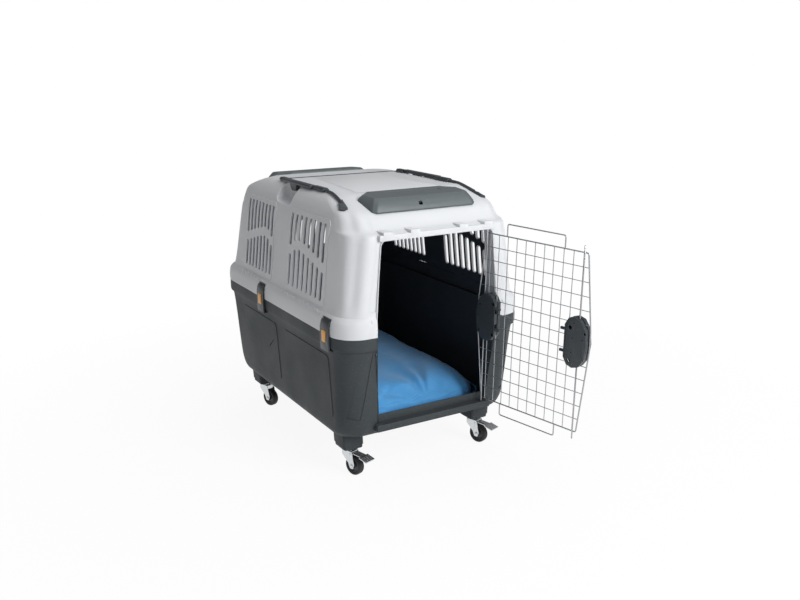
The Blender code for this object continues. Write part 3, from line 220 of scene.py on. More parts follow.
def blank_material(name: str) -> tuple[Material, Tree, bpy.types.Node, Socket]:
    """Make a material that holds only a principled shader and its output.

    Args:
        name: the material's name.

    Returns:
        The material, its tree, the shader and the coordinates on the piece.
    """
    made = bpy.data.materials.new(name)
    tree = cleared(made)
    shader = add_node(tree, "ShaderNodeBsdfPrincipled")
    add_node(tree, "ShaderNodeOutputMaterial", {"Surface": shader.outputs[0]})
    return made, tree, shader, add_node(tree, "ShaderNodeTexCoord").outputs["Object"]


@dataclass(frozen=True)
class MouldedPlastic:
    """Injection-moulded polypropylene or ABS with a spark-eroded grain from the mould.

    The grain breaks up highlights, broad flow marks vary the gloss, and fine scuffs lighten it.
    """

    name: str
    tint: str
    roughness: float
    grain_mm: float = 0.9
    grain_height_mm: float = 0.05
    flow_mm: float = 140.0
    flow_shade: float = 0.86
    scuff_mm: float = 9.0
    scuff: float = 0.05
    scuff_tint: str = "#ffffff"
    shine: float = 0.5

    def build(self) -> Material:
        """Build the material's nodes.

        Returns:
            The material.
        """
        made, tree, shader, place = blank_material(self.name)
        flow = add_node(
            tree, "ShaderNodeTexNoise", {"Vector": place},
            {"Scale": 1000 / self.flow_mm, "Detail": 3.0, "Roughness": 0.55},
        ).outputs["Fac"]
        scuffs = add_node(
            tree, "ShaderNodeTexNoise", {"Vector": place},
            {"Scale": 1000 / self.scuff_mm, "Detail": 6.0, "Roughness": 0.75, "Distortion": 1.5},
        ).outputs["Fac"]
        worn = add_node(
            tree, "ShaderNodeMapRange", {"Value": scuffs},
            {"From Min": 0.55, "From Max": 0.80, "To Min": 0.0, "To Max": self.scuff},
        )
        shade = add_node(
            tree, "ShaderNodeMapRange", {"Value": flow},
            PATTERN_MIDDLE | {"To Min": 0.0, "To Max": 0.10},
        )
        base = linear(self.tint)
        body = add_node(
            tree, "ShaderNodeMix", {"Factor": shade.outputs[0]},
            {FIRST_COLOUR: base, SECOND_COLOUR: dimmed(base, self.flow_shade)}, data_type="RGBA",
        )
        tint = add_node(
            tree, "ShaderNodeMix",
            {"Factor": worn.outputs[0], FIRST_COLOUR: body.outputs[MIXED_COLOUR]},
            {SECOND_COLOUR: linear(self.scuff_tint)}, data_type="RGBA",
        )
        gloss = add_node(
            tree, "ShaderNodeMapRange", {"Value": flow},
            PATTERN_MIDDLE | {"To Min": self.roughness - 0.05, "To Max": self.roughness + 0.06},
        )
        grain = add_node(
            tree, "ShaderNodeTexNoise", {"Vector": place},
            {"Scale": 1000 / self.grain_mm, "Detail": 2.0, "Roughness": 0.6},
        )
        bump = add_node(
            tree, "ShaderNodeBump", {"Height": grain.outputs["Fac"]},
            {"Strength": 0.35, "Distance": self.grain_height_mm / 1000},
        )
        links = {"Base Color": tint.outputs[MIXED_COLOUR], "Roughness": gloss.outputs[0],
                 "Normal": bump.outputs[0]}
        feed(tree, shader, links, {"IOR": 1.49, "Specular IOR Level": self.shine})
        return made


@dataclass(frozen=True)
class PlatedSteel:
    """Steel with a thin bright plating: drawn marks or a faint spangle vary the gloss."""

    name: str
    tint: str
    roughness: float
    spangle_mm: float
    spangle_shade: float = 0.72
    mark_mm: float = 14.0

    def build(self) -> Material:
        """Build the material's nodes.

        Returns:
            The material.
        """
        made, tree, shader, place = blank_material(self.name)
        spangle = add_node(
            tree, "ShaderNodeTexVoronoi", {"Vector": place}, {"Scale": 1000 / self.spangle_mm},
        )
        marks = add_node(
            tree, "ShaderNodeTexNoise", {"Vector": place},
            {"Scale": 1000 / self.mark_mm, "Detail": 5.0, "Roughness": 0.7},
        ).outputs["Fac"]
        gloss = add_node(
            tree, "ShaderNodeMapRange", {"Value": marks},
            PATTERN_MIDDLE | {"To Min": self.roughness - 0.08, "To Max": self.roughness + 0.12},
        )
        share = add_node(
            tree, "ShaderNodeMapRange", {"Value": spangle.outputs["Distance"]},
            {"From Min": 0.0, "From Max": 0.9, "To Min": 0.0, "To Max": 0.35},
        )
        base = linear(self.tint)
        tint = add_node(
            tree, "ShaderNodeMix", {"Factor": share.outputs[0]},
            {FIRST_COLOUR: base, SECOND_COLOUR: dimmed(base, self.spangle_shade)}, data_type="RGBA",
        )
        bump = add_node(
            tree, "ShaderNodeBump", {"Height": marks}, {"Strength": 0.15, "Distance": 0.0001},
        )
        links = {"Base Color": tint.outputs[MIXED_COLOUR], "Roughness": gloss.outputs[0],
                 "Normal": bump.outputs[0]}
        feed(tree, shader, links, {"Metallic": 1.0})
        return made


@dataclass(frozen=True)
class TreadRubber:
    """Moulded black rubber: deep matt black, greyed a little by dust."""

    name: str
    tint: str
    dust: str
    dust_mm: float = 5.0

    def build(self) -> Material:
        """Build the material's nodes.

        Returns:
            The material.
        """
        made, tree, shader, place = blank_material(self.name)
        dust = add_node(
            tree, "ShaderNodeTexNoise", {"Vector": place},
            {"Scale": 1000 / self.dust_mm, "Detail": 6.0, "Roughness": 0.8},
        ).outputs["Fac"]
        share = add_node(
            tree, "ShaderNodeMapRange", {"Value": dust},
            {"From Min": 0.5, "From Max": 0.75, "To Min": 0.0, "To Max": 0.22},
        )
        tint = add_node(
            tree, "ShaderNodeMix", {"Factor": share.outputs[0]},
            {FIRST_COLOUR: linear(self.tint), SECOND_COLOUR: linear(self.dust)}, data_type="RGBA",
        )
        bump = add_node(
            tree, "ShaderNodeBump", {"Height": dust}, {"Strength": 0.3, "Distance": 0.0002},
        )
        links = {"Base Color": tint.outputs[MIXED_COLOUR], "Normal": bump.outputs[0]}
        feed(tree, shader, links, {"Roughness": 0.62, "IOR": 1.52})
        return made


@dataclass(frozen=True)
class WovenCover:
    """Brushed polyester plain weave: crossed threads with a soft sheen over them.

    The real threads are 0.4 mm apart; they are drawn at 2 mm so that the weave shows. Painted shade darkens
    the gaps between threads and broad patches that stand for wrinkles.
    """

    name: str
    tint: str
    # colour of the painted shade in the gaps between threads and in the wrinkle patches
    shadow: str
    thread_mm: float = 2.0
    nap_mm: float = 28.0

    def build(self) -> Material:
        """Build the material's nodes.

        Returns:
            The material.
        """
        made, tree, shader, place = blank_material(self.name)
        values = {"Scale": 1000 / self.thread_mm / 6.283, "Distortion": 1.2, "Detail": 2.0,
                  "Detail Scale": 1.5}
        waves = [
            add_node(tree, "ShaderNodeTexWave", {"Vector": place}, values, wave_type="BANDS",
                     bands_direction=direction).outputs["Fac"]
            for direction in ("X", "Y")
        ]
        weave = add_node(tree, "ShaderNodeMath", {0: waves[0], 1: waves[1]}, operation="MAXIMUM")
        # broad noise patches of painted shade that stand for wrinkles
        wrinkle_shade = add_node(
            tree, "ShaderNodeTexNoise", {"Vector": place},
            {"Scale": 1000 / self.nap_mm, "Detail": 6.0, "Roughness": 0.65},
        )
        share = add_node(
            tree, "ShaderNodeMath", {0: wrinkle_shade.outputs["Fac"], 1: weave.outputs[0]},
            operation="MULTIPLY",
        )
        # painted shade: the gaps between threads and the wrinkle patches are mixed towards the shade colour
        tint = add_node(
            tree, "ShaderNodeMix", {"Factor": share.outputs[0]},
            {FIRST_COLOUR: linear(self.shadow), SECOND_COLOUR: linear(self.tint)}, data_type="RGBA",
        )
        bump = add_node(
            tree, "ShaderNodeBump", {"Height": weave.outputs[0]},
            {"Strength": 0.25, "Distance": 0.0003},
        )
        links = {"Base Color": tint.outputs[MIXED_COLOUR], "Normal": bump.outputs[0]}
        feed(tree, shader, links, {"Roughness": 0.82, "Sheen Weight": 0.35, "Sheen Roughness": 0.5})
        return made


@dataclass(frozen=True)
class Finishes:
    """Every finish of the crate, built once."""

    shell: Material
    # the dark inside finish, painted shade on the inside of the light grey shell
    inside: Material
    tub: Material
    lid: Material
    black: Material
    orange: Material
    wire: Material
    zinc: Material
    rubber: Material
    cloth: Material
    thread: Material

    @classmethod
    def build(cls) -> Finishes:
        """Build the materials.

        Returns:
            The set of finishes.
        """
        plastic, plate = MouldedPlastic, PlatedSteel
        return cls(
            shell=plastic("shell_polypropylene", "#d3d5d8", 0.46, scuff=0.12, shine=0.35).build(),
            # painted shade: the light grey shell's inside is given this dark finish where it is only shaded;
            # in the tub it is near the tub's own grey
            inside=plastic("inner_painted_shade", "#3d4045", 0.60, scuff=0.03, shine=0.3).build(),
            tub=plastic("tub_polypropylene", "#3e4346", 0.52, shine=0.16).build(),
            lid=plastic("lid_polypropylene", "#575f61", 0.44, scuff=0.06).build(),
            black=plastic("fitting_polypropylene", "#31373c", 0.40).build(),
            orange=plastic("button_abs", "#e8a23a", 0.34, scuff=0.0).build(),
            wire=plate("drawn_wire_nickel_plate", "#b3b5b8", 0.36, 6.0).build(),
            zinc=plate("pressed_steel_zinc_plate", "#d9dcde", 0.30, 3.5).build(),
            rubber=TreadRubber("moulded_rubber", "#1b1b1c", "#4b4a48").build(),
            cloth=WovenCover("brushed_polyester_cover", "#66b4ea", "#3d8fd0").build(),
            thread=plastic("polyester_thread", "#2f86c9", 0.6, scuff=0.0).build(),
        )


def shape_of(rings: Sequence[Sequence[Point3]], joined: bool = False) -> Shape:
    """Skin a stack of rings that have the same number of points.

    Args:
        rings: the rings, in order.
        joined: whether the last ring joins the first, where both ends are closed flat otherwise.

    Returns:
        The shape.
    """
    shape = bmesh.new()
    rows = [[shape.verts.new(point) for point in ring] for ring in rings]
    count = len(rows[0])
    for low, high in zip(rows, rows[1:] + (rows[:1] if joined else [])):
        for i in range(count):
            j = (i + 1) % count
            shape.faces.new((low[i], low[j], high[j], high[i]))
    if not joined:
        shape.faces.new(list(reversed(rows[0])))
        shape.faces.new(rows[-1])
    bmesh.ops.recalc_face_normals(shape, faces=shape.faces)
    return shape


def gathered(shapes: Iterable[Shape]) -> Shape:
    """Put several shapes into one.

    Args:
        shapes: the shapes; all but the result are freed.

    Returns:
        One shape that holds them all.
    """
    whole = bmesh.new()
    for shape in shapes:
        scratch = bpy.data.meshes.new("scratch")
        shape.to_mesh(scratch)
        whole.from_mesh(scratch)
        shape.free()
        bpy.data.meshes.remove(scratch)
    return whole


def piece_of(name: str, shape: Shape, finish: Material | None, angle: float = 30.0) -> Piece:
    """Turn a shape into an object with smooth faces and sharp corners.

    Args:
        name: the object's name.
        shape: the shape, which is freed.
        finish: its material.
        angle: corners sharper than this many degrees stay sharp.

    Returns:
        The object.
    """
    mesh = bpy.data.meshes.new(name)
    shape.to_mesh(mesh)
    shape.free()
    mesh.shade_smooth()
    mesh.set_sharp_from_angle(angle=math.radians(angle))
    made = bpy.data.objects.new(name, mesh)
    bpy.context.scene.collection.objects.link(made)
    if finish:
        mesh.materials.append(finish)
    return made


def settled(piece: Piece, angle: float | None = 30.0) -> Piece:
    """Turn what a piece's modifiers make of it into its plain mesh.

    Args:
        piece: the piece.
        angle: corners sharper than this many degrees are marked sharp again.

    Returns:
        The same piece with no modifiers left.
    """
    bpy.context.view_layer.update()
    graph = bpy.context.evaluated_depsgraph_get()
    mesh = bpy.data.meshes.new_from_object(piece.evaluated_get(graph), depsgraph=graph)
    piece.modifiers.clear()
    old = piece.data
    piece.data = mesh
    bpy.data.meshes.remove(old)
    if angle is not None:
        mesh.shade_smooth()
        mesh.set_sharp_from_angle(angle=math.radians(angle))
    return piece


def carve(piece: Piece, tools: Iterable[tuple[Piece, str]]) -> None:
    """Apply Boolean steps to a piece; each tool's material goes onto the faces it leaves.

    Args:
        piece: the piece.
        tools: each tool with its operation, in order.
    """
    used = []
    for cutter, operation in tools:
        step = piece.modifiers.new(cutter.name, "BOOLEAN")
        step.operation = operation
        step.object = cutter
        step.solver = "EXACT"
        step.material_mode = "TRANSFER"
        used.append(cutter)
    settled(piece)
    for cutter in used:
        mesh = cutter.data
        bpy.data.objects.remove(cutter)
        bpy.data.meshes.remove(mesh)


def tool(name: str, shape: Shape, finish: Material, operation: str = "DIFFERENCE") -> tuple[Piece, str]:
    """Turn a shape into one step for carve."""
    return piece_of(name, shape, finish), operation


def bent(start: Vector, here: Vector, end: Vector, share: float) -> Vector:
    """A point on the soft bend from start to end that a corner pulls towards itself."""
    return start * (1 - share) ** 2 + here * 2 * share * (1 - share) + end * share ** 2


def filleted(
    points: Sequence[Point2], radii: float | Sequence[float], steps: int = 6,
) -> list[Point2]:
    """Round the corners of a flat outline.

    Args:
        points: the corners in order.
        radii: one radius for every corner, or one for each.
        steps: segments in each corner.

    Returns:
        The rounded outline.
    """
    outline: list[Point2] = []
    count = len(points)
    for i, corner in enumerate(points):
        here = Vector(corner)
        back = Vector(points[i - 1]) - here
        ahead = Vector(points[(i + 1) % count]) - here
        radius = radii if isinstance(radii, float) else radii[i]
        reach = radius / math.tan(back.angle(ahead) / 2)
        reach = min(reach, 0.48 * back.length, 0.48 * ahead.length)
        if reach < 1e-6:
            outline.append((here.x, here.y))
            continue
        start = here + back.normalized() * reach
        end = here + ahead.normalized() * reach
        for step in range(steps + 1):
            point = bent(start, here, end, step / steps)
            outline.append((point.x, point.y))
    return outline


def grown(outline: Sequence[Point2], distance: float) -> list[Point2]:
    """Move each point of a flat outline outwards from the outline's middle line.

    Args:
        outline: the outline, counter-clockwise or clockwise.
        distance: how far, negative for inwards.

    Returns:
        The new outline.
    """
    count = len(outline)
    area = sum(
        outline[i - 1][0] * outline[i][1] - outline[i][0] * outline[i - 1][1] for i in range(count)
    )
    sign = 1.0 if area > 0 else -1.0
    moved = []
    for i in range(count):
        before = Vector(outline[i]) - Vector(outline[i - 1])
        after = Vector(outline[(i + 1) % count]) - Vector(outline[i])
        along = before.normalized() + after.normalized()
        if along.length < 1e-6:
            along = after if after.length > 1e-9 else before
        along.normalize()
        normal = Vector((along.y, -along.x)) * sign
        moved.append((outline[i][0] + normal.x * distance, outline[i][1] + normal.y * distance))
    return moved


def mirrored(points: Sequence[Point2]) -> tuple[Point2, ...]:
    """The points and, back to front, the same ones on the other side of X = 0."""
    return (*points, *((-x, other) for x, other in reversed(points)))


def pocket(outline: Sequence[Point2], place: Place, levels: Sequence[Point2]) -> Shape:
    """A block or tool from one outline at (depth, growth) levels, deepest first, placed in space."""
    rings = [[place(a, b, depth) for a, b in grown(outline, grow)] for depth, grow in levels]
    return shape_of(rings)


def lathe(profile: Sequence[Point2], sides: int, closed: bool = False) -> Shape:
    """Turn (radius, x) points about the X axis.

    Args:
        profile: the points, an open line closed flat at both ends, or a closed loop.
        sides: segments round the axis.
        closed: whether the profile is a loop, as for a ring.

    Returns:
        The turned shape.
    """
    turns = [2 * math.pi * i / sides for i in range(sides)]
    if closed:
        rows = [[(x, r * math.cos(a), r * math.sin(a)) for r, x in profile] for a in turns]
        return shape_of(rows, True)
    return shape_of([[(x, r * math.cos(a), r * math.sin(a)) for a in turns] for r, x in profile])


class Recipes:
    """Geometry Nodes trees for what follows a line or repeats, each built once.

    Corners sharper than the wire's or the row's angle, in degrees, stay sharp.
    """

    wire_angle: float = 50.0
    row_angle: float = 35.0

    def __init__(self) -> None:
        """Build both trees."""
        self.wire = self._wire_tree()
        self.row = self._row_tree()

    @staticmethod
    def _new_tree(
        name: str, inputs: Sequence[tuple[str, str]],
    ) -> tuple[Tree, bpy.types.Node, Socket]:
        """Start a tree with a geometry input, the named inputs and a geometry output.

        Args:
            name: the tree's name.
            inputs: (name, kind) pairs.

        Returns:
            The tree, its input node and the input mesh's lines.
        """
        tree = bpy.data.node_groups.new(name, "GeometryNodeTree")
        rows = [("Geometry", "INPUT", "Geometry")]
        rows += [(label, "INPUT", kind) for label, kind in inputs]
        rows.append(("Geometry", "OUTPUT", "Geometry"))
        for label, way, kind in rows:
            tree.interface.new_socket(label, in_out=way, socket_type=f"NodeSocket{kind}")
        start = add_node(tree, "NodeGroupInput")
        line = add_node(tree, "GeometryNodeMeshToCurve", {"Mesh": start.outputs["Geometry"]})
        return tree, start, line.outputs[0]

    @staticmethod
    def _ended(tree: Tree, start: bpy.types.Node, geometry: Socket) -> Tree:
        """End a tree: make its copies real and give them the finish.

        Args:
            tree: the tree.
            start: its input node.
            geometry: what it has made.

        Returns:
            The tree.
        """
        real = add_node(tree, "GeometryNodeRealizeInstances", {"Geometry": geometry})
        links = {"Geometry": real.outputs[0], "Material": start.outputs["Finish"]}
        dressed = add_node(tree, "GeometryNodeSetMaterial", links)
        add_node(tree, "NodeGroupOutput", {"Geometry": dressed.outputs[0]})
        return tree

    def _wire_tree(self) -> Tree:
        """A round wire along every line of the input mesh.

        Returns:
            The tree.
        """
        inputs = (("Wire Radius", "Float"), ("Sides", "Int"), ("Finish", "Material"))
        tree, start, line = self._new_tree("round_wire", inputs)
        section = add_node(
            tree, "GeometryNodeCurvePrimitiveCircle",
            {"Resolution": start.outputs["Sides"], "Radius": start.outputs["Wire Radius"]},
        )
        links = {"Curve": line, "Profile Curve": section.outputs[0]}
        tube = add_node(tree, "GeometryNodeCurveToMesh", links, {"Fill Caps": True})
        smooth = add_node(tree, "GeometryNodeSetShadeSmooth", {"Geometry": tube.outputs[0]})
        return self._ended(tree, start, smooth.outputs[0])

    def _row_tree(self) -> Tree:
        """A copy of a template at steps along every line of the input mesh, turned to follow it.

        Returns:
            The tree.
        """
        inputs = (("Template", "Object"), ("Spacing", "Float"), ("Size", "Float"),
                  ("Finish", "Material"))
        tree, start, line = self._new_tree("row_along_line", inputs)
        links = {"Curve": line, "Length": start.outputs["Spacing"]}
        points = add_node(tree, "GeometryNodeCurveToPoints", links, mode="LENGTH")
        template = add_node(
            tree, "GeometryNodeObjectInfo", {"Object": start.outputs["Template"]},
            transform_space="ORIGINAL",
        )
        copies = add_node(tree, "GeometryNodeInstanceOnPoints", {
            "Points": points.outputs["Points"], "Instance": template.outputs["Geometry"],
            "Rotation": points.outputs["Rotation"], "Scale": start.outputs["Size"],
        })
        return self._ended(tree, start, copies.outputs[0])

    @staticmethod
    def _run(
        tree: Tree, name: str, lines: Sequence[Sequence[Point3]], inputs: dict[str, object],
        angle: float, closed: bool = False,
    ) -> Piece:
        """Run a tree on lines and keep its result as a plain mesh.

        Args:
            tree: the tree.
            name: the piece's name.
            lines: the lines, each a list of points.
            inputs: input name to value.
            angle: corners sharper than this many degrees stay sharp.
            closed: whether each line joins its own start.

        Returns:
            The piece.
        """
        shape = bmesh.new()
        for line in lines:
            row = [shape.verts.new(point) for point in line]
            for ends in zip(row, row[1:] + (row[:1] if closed else [])):
                shape.edges.new(ends)
        made = piece_of(name, shape, None)
        step = made.modifiers.new(tree.name, "NODES")
        step.node_group = tree
        sockets = {
            item.name: item.identifier for item in tree.interface.items_tree
            if item.item_type == "SOCKET" and item.in_out == "INPUT"
        }
        for label, value in inputs.items():
            step[sockets[label]] = value
        return settled(made, angle)

    def wires(
        self, name: str, lines: Sequence[Sequence[Point3]], radius: float, finish: Material,
        sides: int, closed: bool = False,
    ) -> Piece:
        """Make round wires along lines, each of them closed on itself where asked."""
        inputs = {"Wire Radius": radius, "Sides": sides, "Finish": finish}
        return self._run(self.wire, name, lines, inputs, self.wire_angle, closed)

    def row_along(
        self, name: str, lines: Sequence[Sequence[Point3]], template: Shape, spacing: float,
        finish: Material,
    ) -> Piece:
        """Repeat a small template along lines.

        Args:
            name: the piece's name.
            lines: the lines.
            template: the repeated shape, with its Z along the line.
            spacing: the distance between copies.
            finish: the copies' material.

        Returns:
            The piece.
        """
        pattern = piece_of(name + "_template", template, None)
        inputs = {"Template": pattern, "Spacing": spacing, "Size": 1.0, "Finish": finish}
        made = self._run(self.row, name, lines, inputs, self.row_angle)
        bpy.data.objects.remove(pattern)
        return made


def show(piece: Piece, body: str, slot: Slot, *nodes: str) -> None:
    """Move a finished piece onto the crate's origin and hand it to the frame.

    Args:
        piece: the piece.
        body: the CAD body that it rides on.
        slot: the record's slot for its finish; not used.
        *nodes: the CAD nodes that it stands for.
    """
    piece.data.transform(ONTO_ORIGIN)
    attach(piece, body)
    if nodes:
        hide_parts(*nodes)
    LOG.info("%s rides on %s, %d faces", piece.name, body, len(piece.data.polygons))


def refined(
    frame: dict, node: str, name: str, finish: Material, edge: float, segments: int = 2,
) -> Piece:
    """Copy a CAD node, merge its loose triangles and round its edges.

    Args:
        node: the CAD node.
        name: the new piece's name.
        finish: its material.
        edge: the width of the rounding.
        segments: segments across the rounding.

    Returns:
        The piece.
    """
    shape = bmesh.new()
    shape.from_mesh(frame["nodes"][node].data)
    bmesh.ops.transform(shape, matrix=ONTO_ORIGIN.inverted(), verts=shape.verts)
    bmesh.ops.remove_doubles(shape, verts=shape.verts, dist=MERGED_WITHIN)
    bmesh.ops.dissolve_limit(
        shape, angle_limit=math.radians(JOINED_WITHIN), verts=shape.verts, edges=shape.edges,
    )
    made = piece_of(name, shape, finish)
    step = made.modifiers.new("edges", "BEVEL")
    step.width = edge
    step.segments = segments
    step.limit_method = "ANGLE"
    step.angle_limit = math.radians(ROUNDED_ABOVE)
    return settled(made)


@dataclass(frozen=True)
class Level:
    """One level of the moulded body: its height, how far each face is drawn in, and its corners."""

    height: float
    side: float
    front: float
    rear: float
    corner: float

    def parts(self) -> Vector:
        """The level as one vector, for blending."""
        return Vector((self.height, self.side, self.front, self.rear, self.corner))


@dataclass
class BodyForm:
    """The form that shell and tub share: a rounded rectangle that changes with height."""

    levels: tuple[Level, ...]
    corner_steps: int = 20
    side_steps: int = 6
    flute_depth: float = 0.0

    def flute(self, height: float, degrees: float) -> float:
        """How deep the soft grooves round a front corner are at a place, with bands between them.

        Args:
            height: the height.
            degrees: the place round a front corner, from the side wall at 0 to the front at 90.

        Returns:
            The depth, negative on a band that stands out.
        """
        rise = clamped((height - SEAM - 0.062) / 0.02)
        fade = clamped((ROOF - 0.006 - height) / 0.03)

        def hump(place: float, width: float) -> float:
            """A smooth hump round the corner, 1 high."""
            return math.exp(-((degrees - place) / width) ** 2)

        grooves = hump(47.0, 7.0) + 0.8 * hump(80.0, 6.0)
        bands = hump(27.0, 9.0) + hump(64.0, 7.0)
        return self.flute_depth * rise * fade * (grooves - 0.7 * bands)

    def eased(self, share: float = 0.36, steps: int = 3) -> list[Level]:
        """Round the profile where two levels meet at an angle.

        Args:
            share: how much of each stretch the rounding takes at either end.
            steps: segments in each rounding.

        Returns:
            The denser list of levels.
        """
        points = [level.parts() for level in self.levels]
        dense = [points[0]]
        for before, here, after in zip(points, points[1:], points[2:]):
            start = here.lerp(before, share)
            end = here.lerp(after, share)
            dense += [bent(start, here, end, step / steps) for step in range(steps + 1)]
        dense.append(points[-1])
        return [Level(*point) for point in dense]

    def ring(self, level: Level, inset: float = 0.0) -> list[Point3]:
        """Points round one level.

        Args:
            level: the level.
            inset: how far the ring is drawn in, as for the inner wall.

        Returns:
            The ring, counter-clockwise from above.
        """
        half = SIDE - level.side - inset
        front = FRONT + level.front + inset
        rear = REAR - level.rear - inset
        radius = max(level.corner - inset, 0.006)
        corners = (
            (half - radius, rear - radius, 0),
            (-half + radius, rear - radius, 90),
            (-half + radius, front + radius, 180),
            (half - radius, front + radius, 270),
        )
        arcs = []
        for x, y, start in corners:
            arc = []
            for step in range(self.corner_steps + 1):
                degrees = start + 90 * step / self.corner_steps
                reach = radius
                if start >= 180 and inset == 0.0:
                    from_side = degrees - 180 if start == 180 else 360 - degrees
                    reach -= self.flute(level.height, from_side)
                angle = math.radians(degrees)
                arc.append((x + reach * math.cos(angle), y + reach * math.sin(angle)))
            arcs.append(arc)
        ring: list[Point3] = []
        for i, arc in enumerate(arcs):
            ring += [(x, y, level.height) for x, y in arc]
            x0, y0 = arc[-1]
            x1, y1 = arcs[(i + 1) % 4][0]
            for step in range(1, self.side_steps):
                t = step / self.side_steps
                ring.append((x0 + (x1 - x0) * t, y0 + (y1 - y0) * t, level.height))
        return ring

    def skin(self, inset: float = 0.0) -> Shape:
        """The whole form as a closed shape, drawn in by an inset, or outwards by a negative one."""
        return shape_of([self.ring(level, inset) for level in self.eased()])

    def at(self, height: float) -> Level:
        """The level at a height, blended between its neighbours.

        Args:
            height: the height.

        Returns:
            The level.
        """
        points = [level.parts() for level in self.levels]
        for low, high in zip(points, points[1:]):
            if low[0] <= height <= high[0]:
                return Level(*low.lerp(high, (height - low[0]) / (high[0] - low[0])))
        return Level(*(points[0] if height < points[0][0] else points[-1]))

    def side_x(self, height: float) -> float:
        """How far the side wall stands from the middle at a height."""
        return SIDE - self.at(height).side

    def front_y(self, height: float) -> float:
        """Where the front wall stands at a height."""
        return FRONT + self.at(height).front


SHELL_FORM = BodyForm((
    Level(SEAM + 0.0003, 0.0010, 0.0010, 0.0010, 0.080),
    Level(SEAM + 0.0190, 0.0000, 0.0000, 0.0000, 0.080),
    Level(SEAM + 0.0420, 0.0020, 0.0012, 0.0020, 0.080),
    Level(SEAM + 0.0540, 0.0090, 0.0040, 0.0080, 0.080),
    Level(SEAM + 0.0600, 0.0195, 0.0075, 0.0150, 0.080),
    Level(SEAM + 0.2640, 0.0397, 0.0095, 0.0380, 0.092),
    Level(SEAM + 0.2835, 0.0430, 0.0140, 0.0450, 0.096),
    Level(SEAM + 0.2890, 0.0442, 0.0450, 0.0485, 0.090),
    Level(ROOF - 0.0390, 0.0545, 0.0750, 0.0750, 0.075),
    Level(ROOF - 0.0200, 0.0670, 0.1359, 0.1280, 0.070),
    Level(ROOF - 0.0080, 0.0790, 0.1744, 0.1680, 0.068),
    Level(ROOF, 0.0930, 0.2000, 0.2000, 0.062),
), flute_depth=0.0026)
TUB_FORM = BodyForm((
    Level(TUB_BOTTOM, 0.042, 0.076, 0.072, 0.060),
    Level(TUB_BOTTOM + 0.006, 0.034, 0.064, 0.060, 0.066),
    Level(TUB_BOTTOM + 0.020, 0.028, 0.046, 0.044, 0.072),
    Level(TUB_BOTTOM + 0.055, 0.023, 0.028, 0.030, 0.076),
    Level(SEAM - 0.039, 0.010, 0.010, 0.012, 0.078),
    Level(SEAM - 0.037, 0.001, 0.001, 0.001, 0.080),
    Level(SEAM, 0.001, 0.001, 0.001, 0.080),
))


def box_outline(low: Point2, high: Point2, radius: float, steps: int = 5) -> list[Point2]:
    """A flat rectangle from its lowest to its highest corner, rounded in a number of steps."""
    corners = ((low[0], low[1]), (high[0], low[1]), (high[0], high[1]), (low[0], high[1]))
    return filleted(corners, radius, steps)


def disc(radius: float, sides: int, centre: Point2 = (0.0, 0.0)) -> list[Point2]:
    """A circle's outline, with as many points as it has sides."""
    turns = [2 * math.pi * (i + 0.5) / sides for i in range(sides)]
    return [(centre[0] + radius * math.cos(a), centre[1] + radius * math.sin(a)) for a in turns]


def along_x(a: float, b: float, depth: float) -> Point3:
    """Place (y, z) outlines at an X."""
    return (depth, a, b)


def along_y(a: float, b: float, depth: float) -> Point3:
    """Place (x, z) outlines at a Y."""
    return (a, depth, b)


def along_z(a: float, b: float, depth: float) -> Point3:
    """Place (x, y) outlines at a Z."""
    return (a, b, depth)


def out_from(side: int, lean: float = 0.0, middle: float = 0.0) -> Place:
    """Place (y, z) outlines at a distance from the middle plane, leaning out above a height."""
    return lambda a, b, depth: (side * (depth + lean * (b - middle)), a, b)


def block(
    outline: Sequence[Point2], place: Place, low: float, high: float, edge: float = 0.0,
) -> Shape:
    """A straight block, with both its ends chamfered when an edge is given.

    Args:
        outline: the flat outline.
        place: turns outline coordinates and a level into a point.
        low: one end's level.
        high: the other end's level.
        edge: the width of the chamfer.

    Returns:
        The shape.
    """
    if not edge:
        return pocket(outline, place, ((low, 0.0), (high, 0.0)))
    third = edge * 0.3
    levels = (
        (low, -edge), (low + third, -third), (low + edge, 0.0),
        (high - edge, 0.0), (high - third, -third), (high, -edge),
    )
    return pocket(outline, place, levels)


def opening_outline(grow: float = 0.0) -> list[Point2]:
    """The door opening's outline in (x, z).

    Args:
        grow: how much larger than the opening it is all round.

    Returns:
        The outline.
    """
    right = (
        (SIDE - 0.129 + grow, SILL_TOP - grow),
        (SIDE - 0.120 + grow, SEAM - 0.156),
        (SIDE - 0.1105 + grow, SEAM - 0.026),
        (SIDE - 0.1105 + grow, SEAM + 0.044),
        (SIDE - 0.120 + grow, SEAM + 0.164),
        (SIDE - 0.129 + grow, OPENING_TOP + grow),
    )
    radii = (0.006, 0.10, 0.10, 0.10, 0.10, 0.020 + grow)
    return filleted(mirrored(right), radii + tuple(reversed(radii)), 6)


def mouth_block(grow: float, past: float) -> Shape:
    """A block through the grown mouth, from in front of the crate to past the reveal's end."""
    return block(opening_outline(grow), along_y, FRONT - 0.06, REVEAL_END + past)


def hinge_y(height: float) -> float:
    """Where the leaning hinge axis stands at a height."""
    top, bottom = LEDGE_FRONT + 0.0045, FRONT + 0.020
    return bottom + (top - bottom) * (height - SILL_TOP) / (OPENING_TOP - SILL_TOP)


def rod_sockets(low: float, high: float) -> Shape:
    """The bores that the door's rods enter, along both leaning axes.

    Args:
        low: the lower end.
        high: the upper end.

    Returns:
        The shape.
    """
    radius = 0.0026
    return gathered([
        shape_of([[(x + a, hinge_y(z) + b, z) for a, b in disc(radius, 16)] for z in (low, high)])
        for x in (HINGE_X, -HINGE_X)
    ])


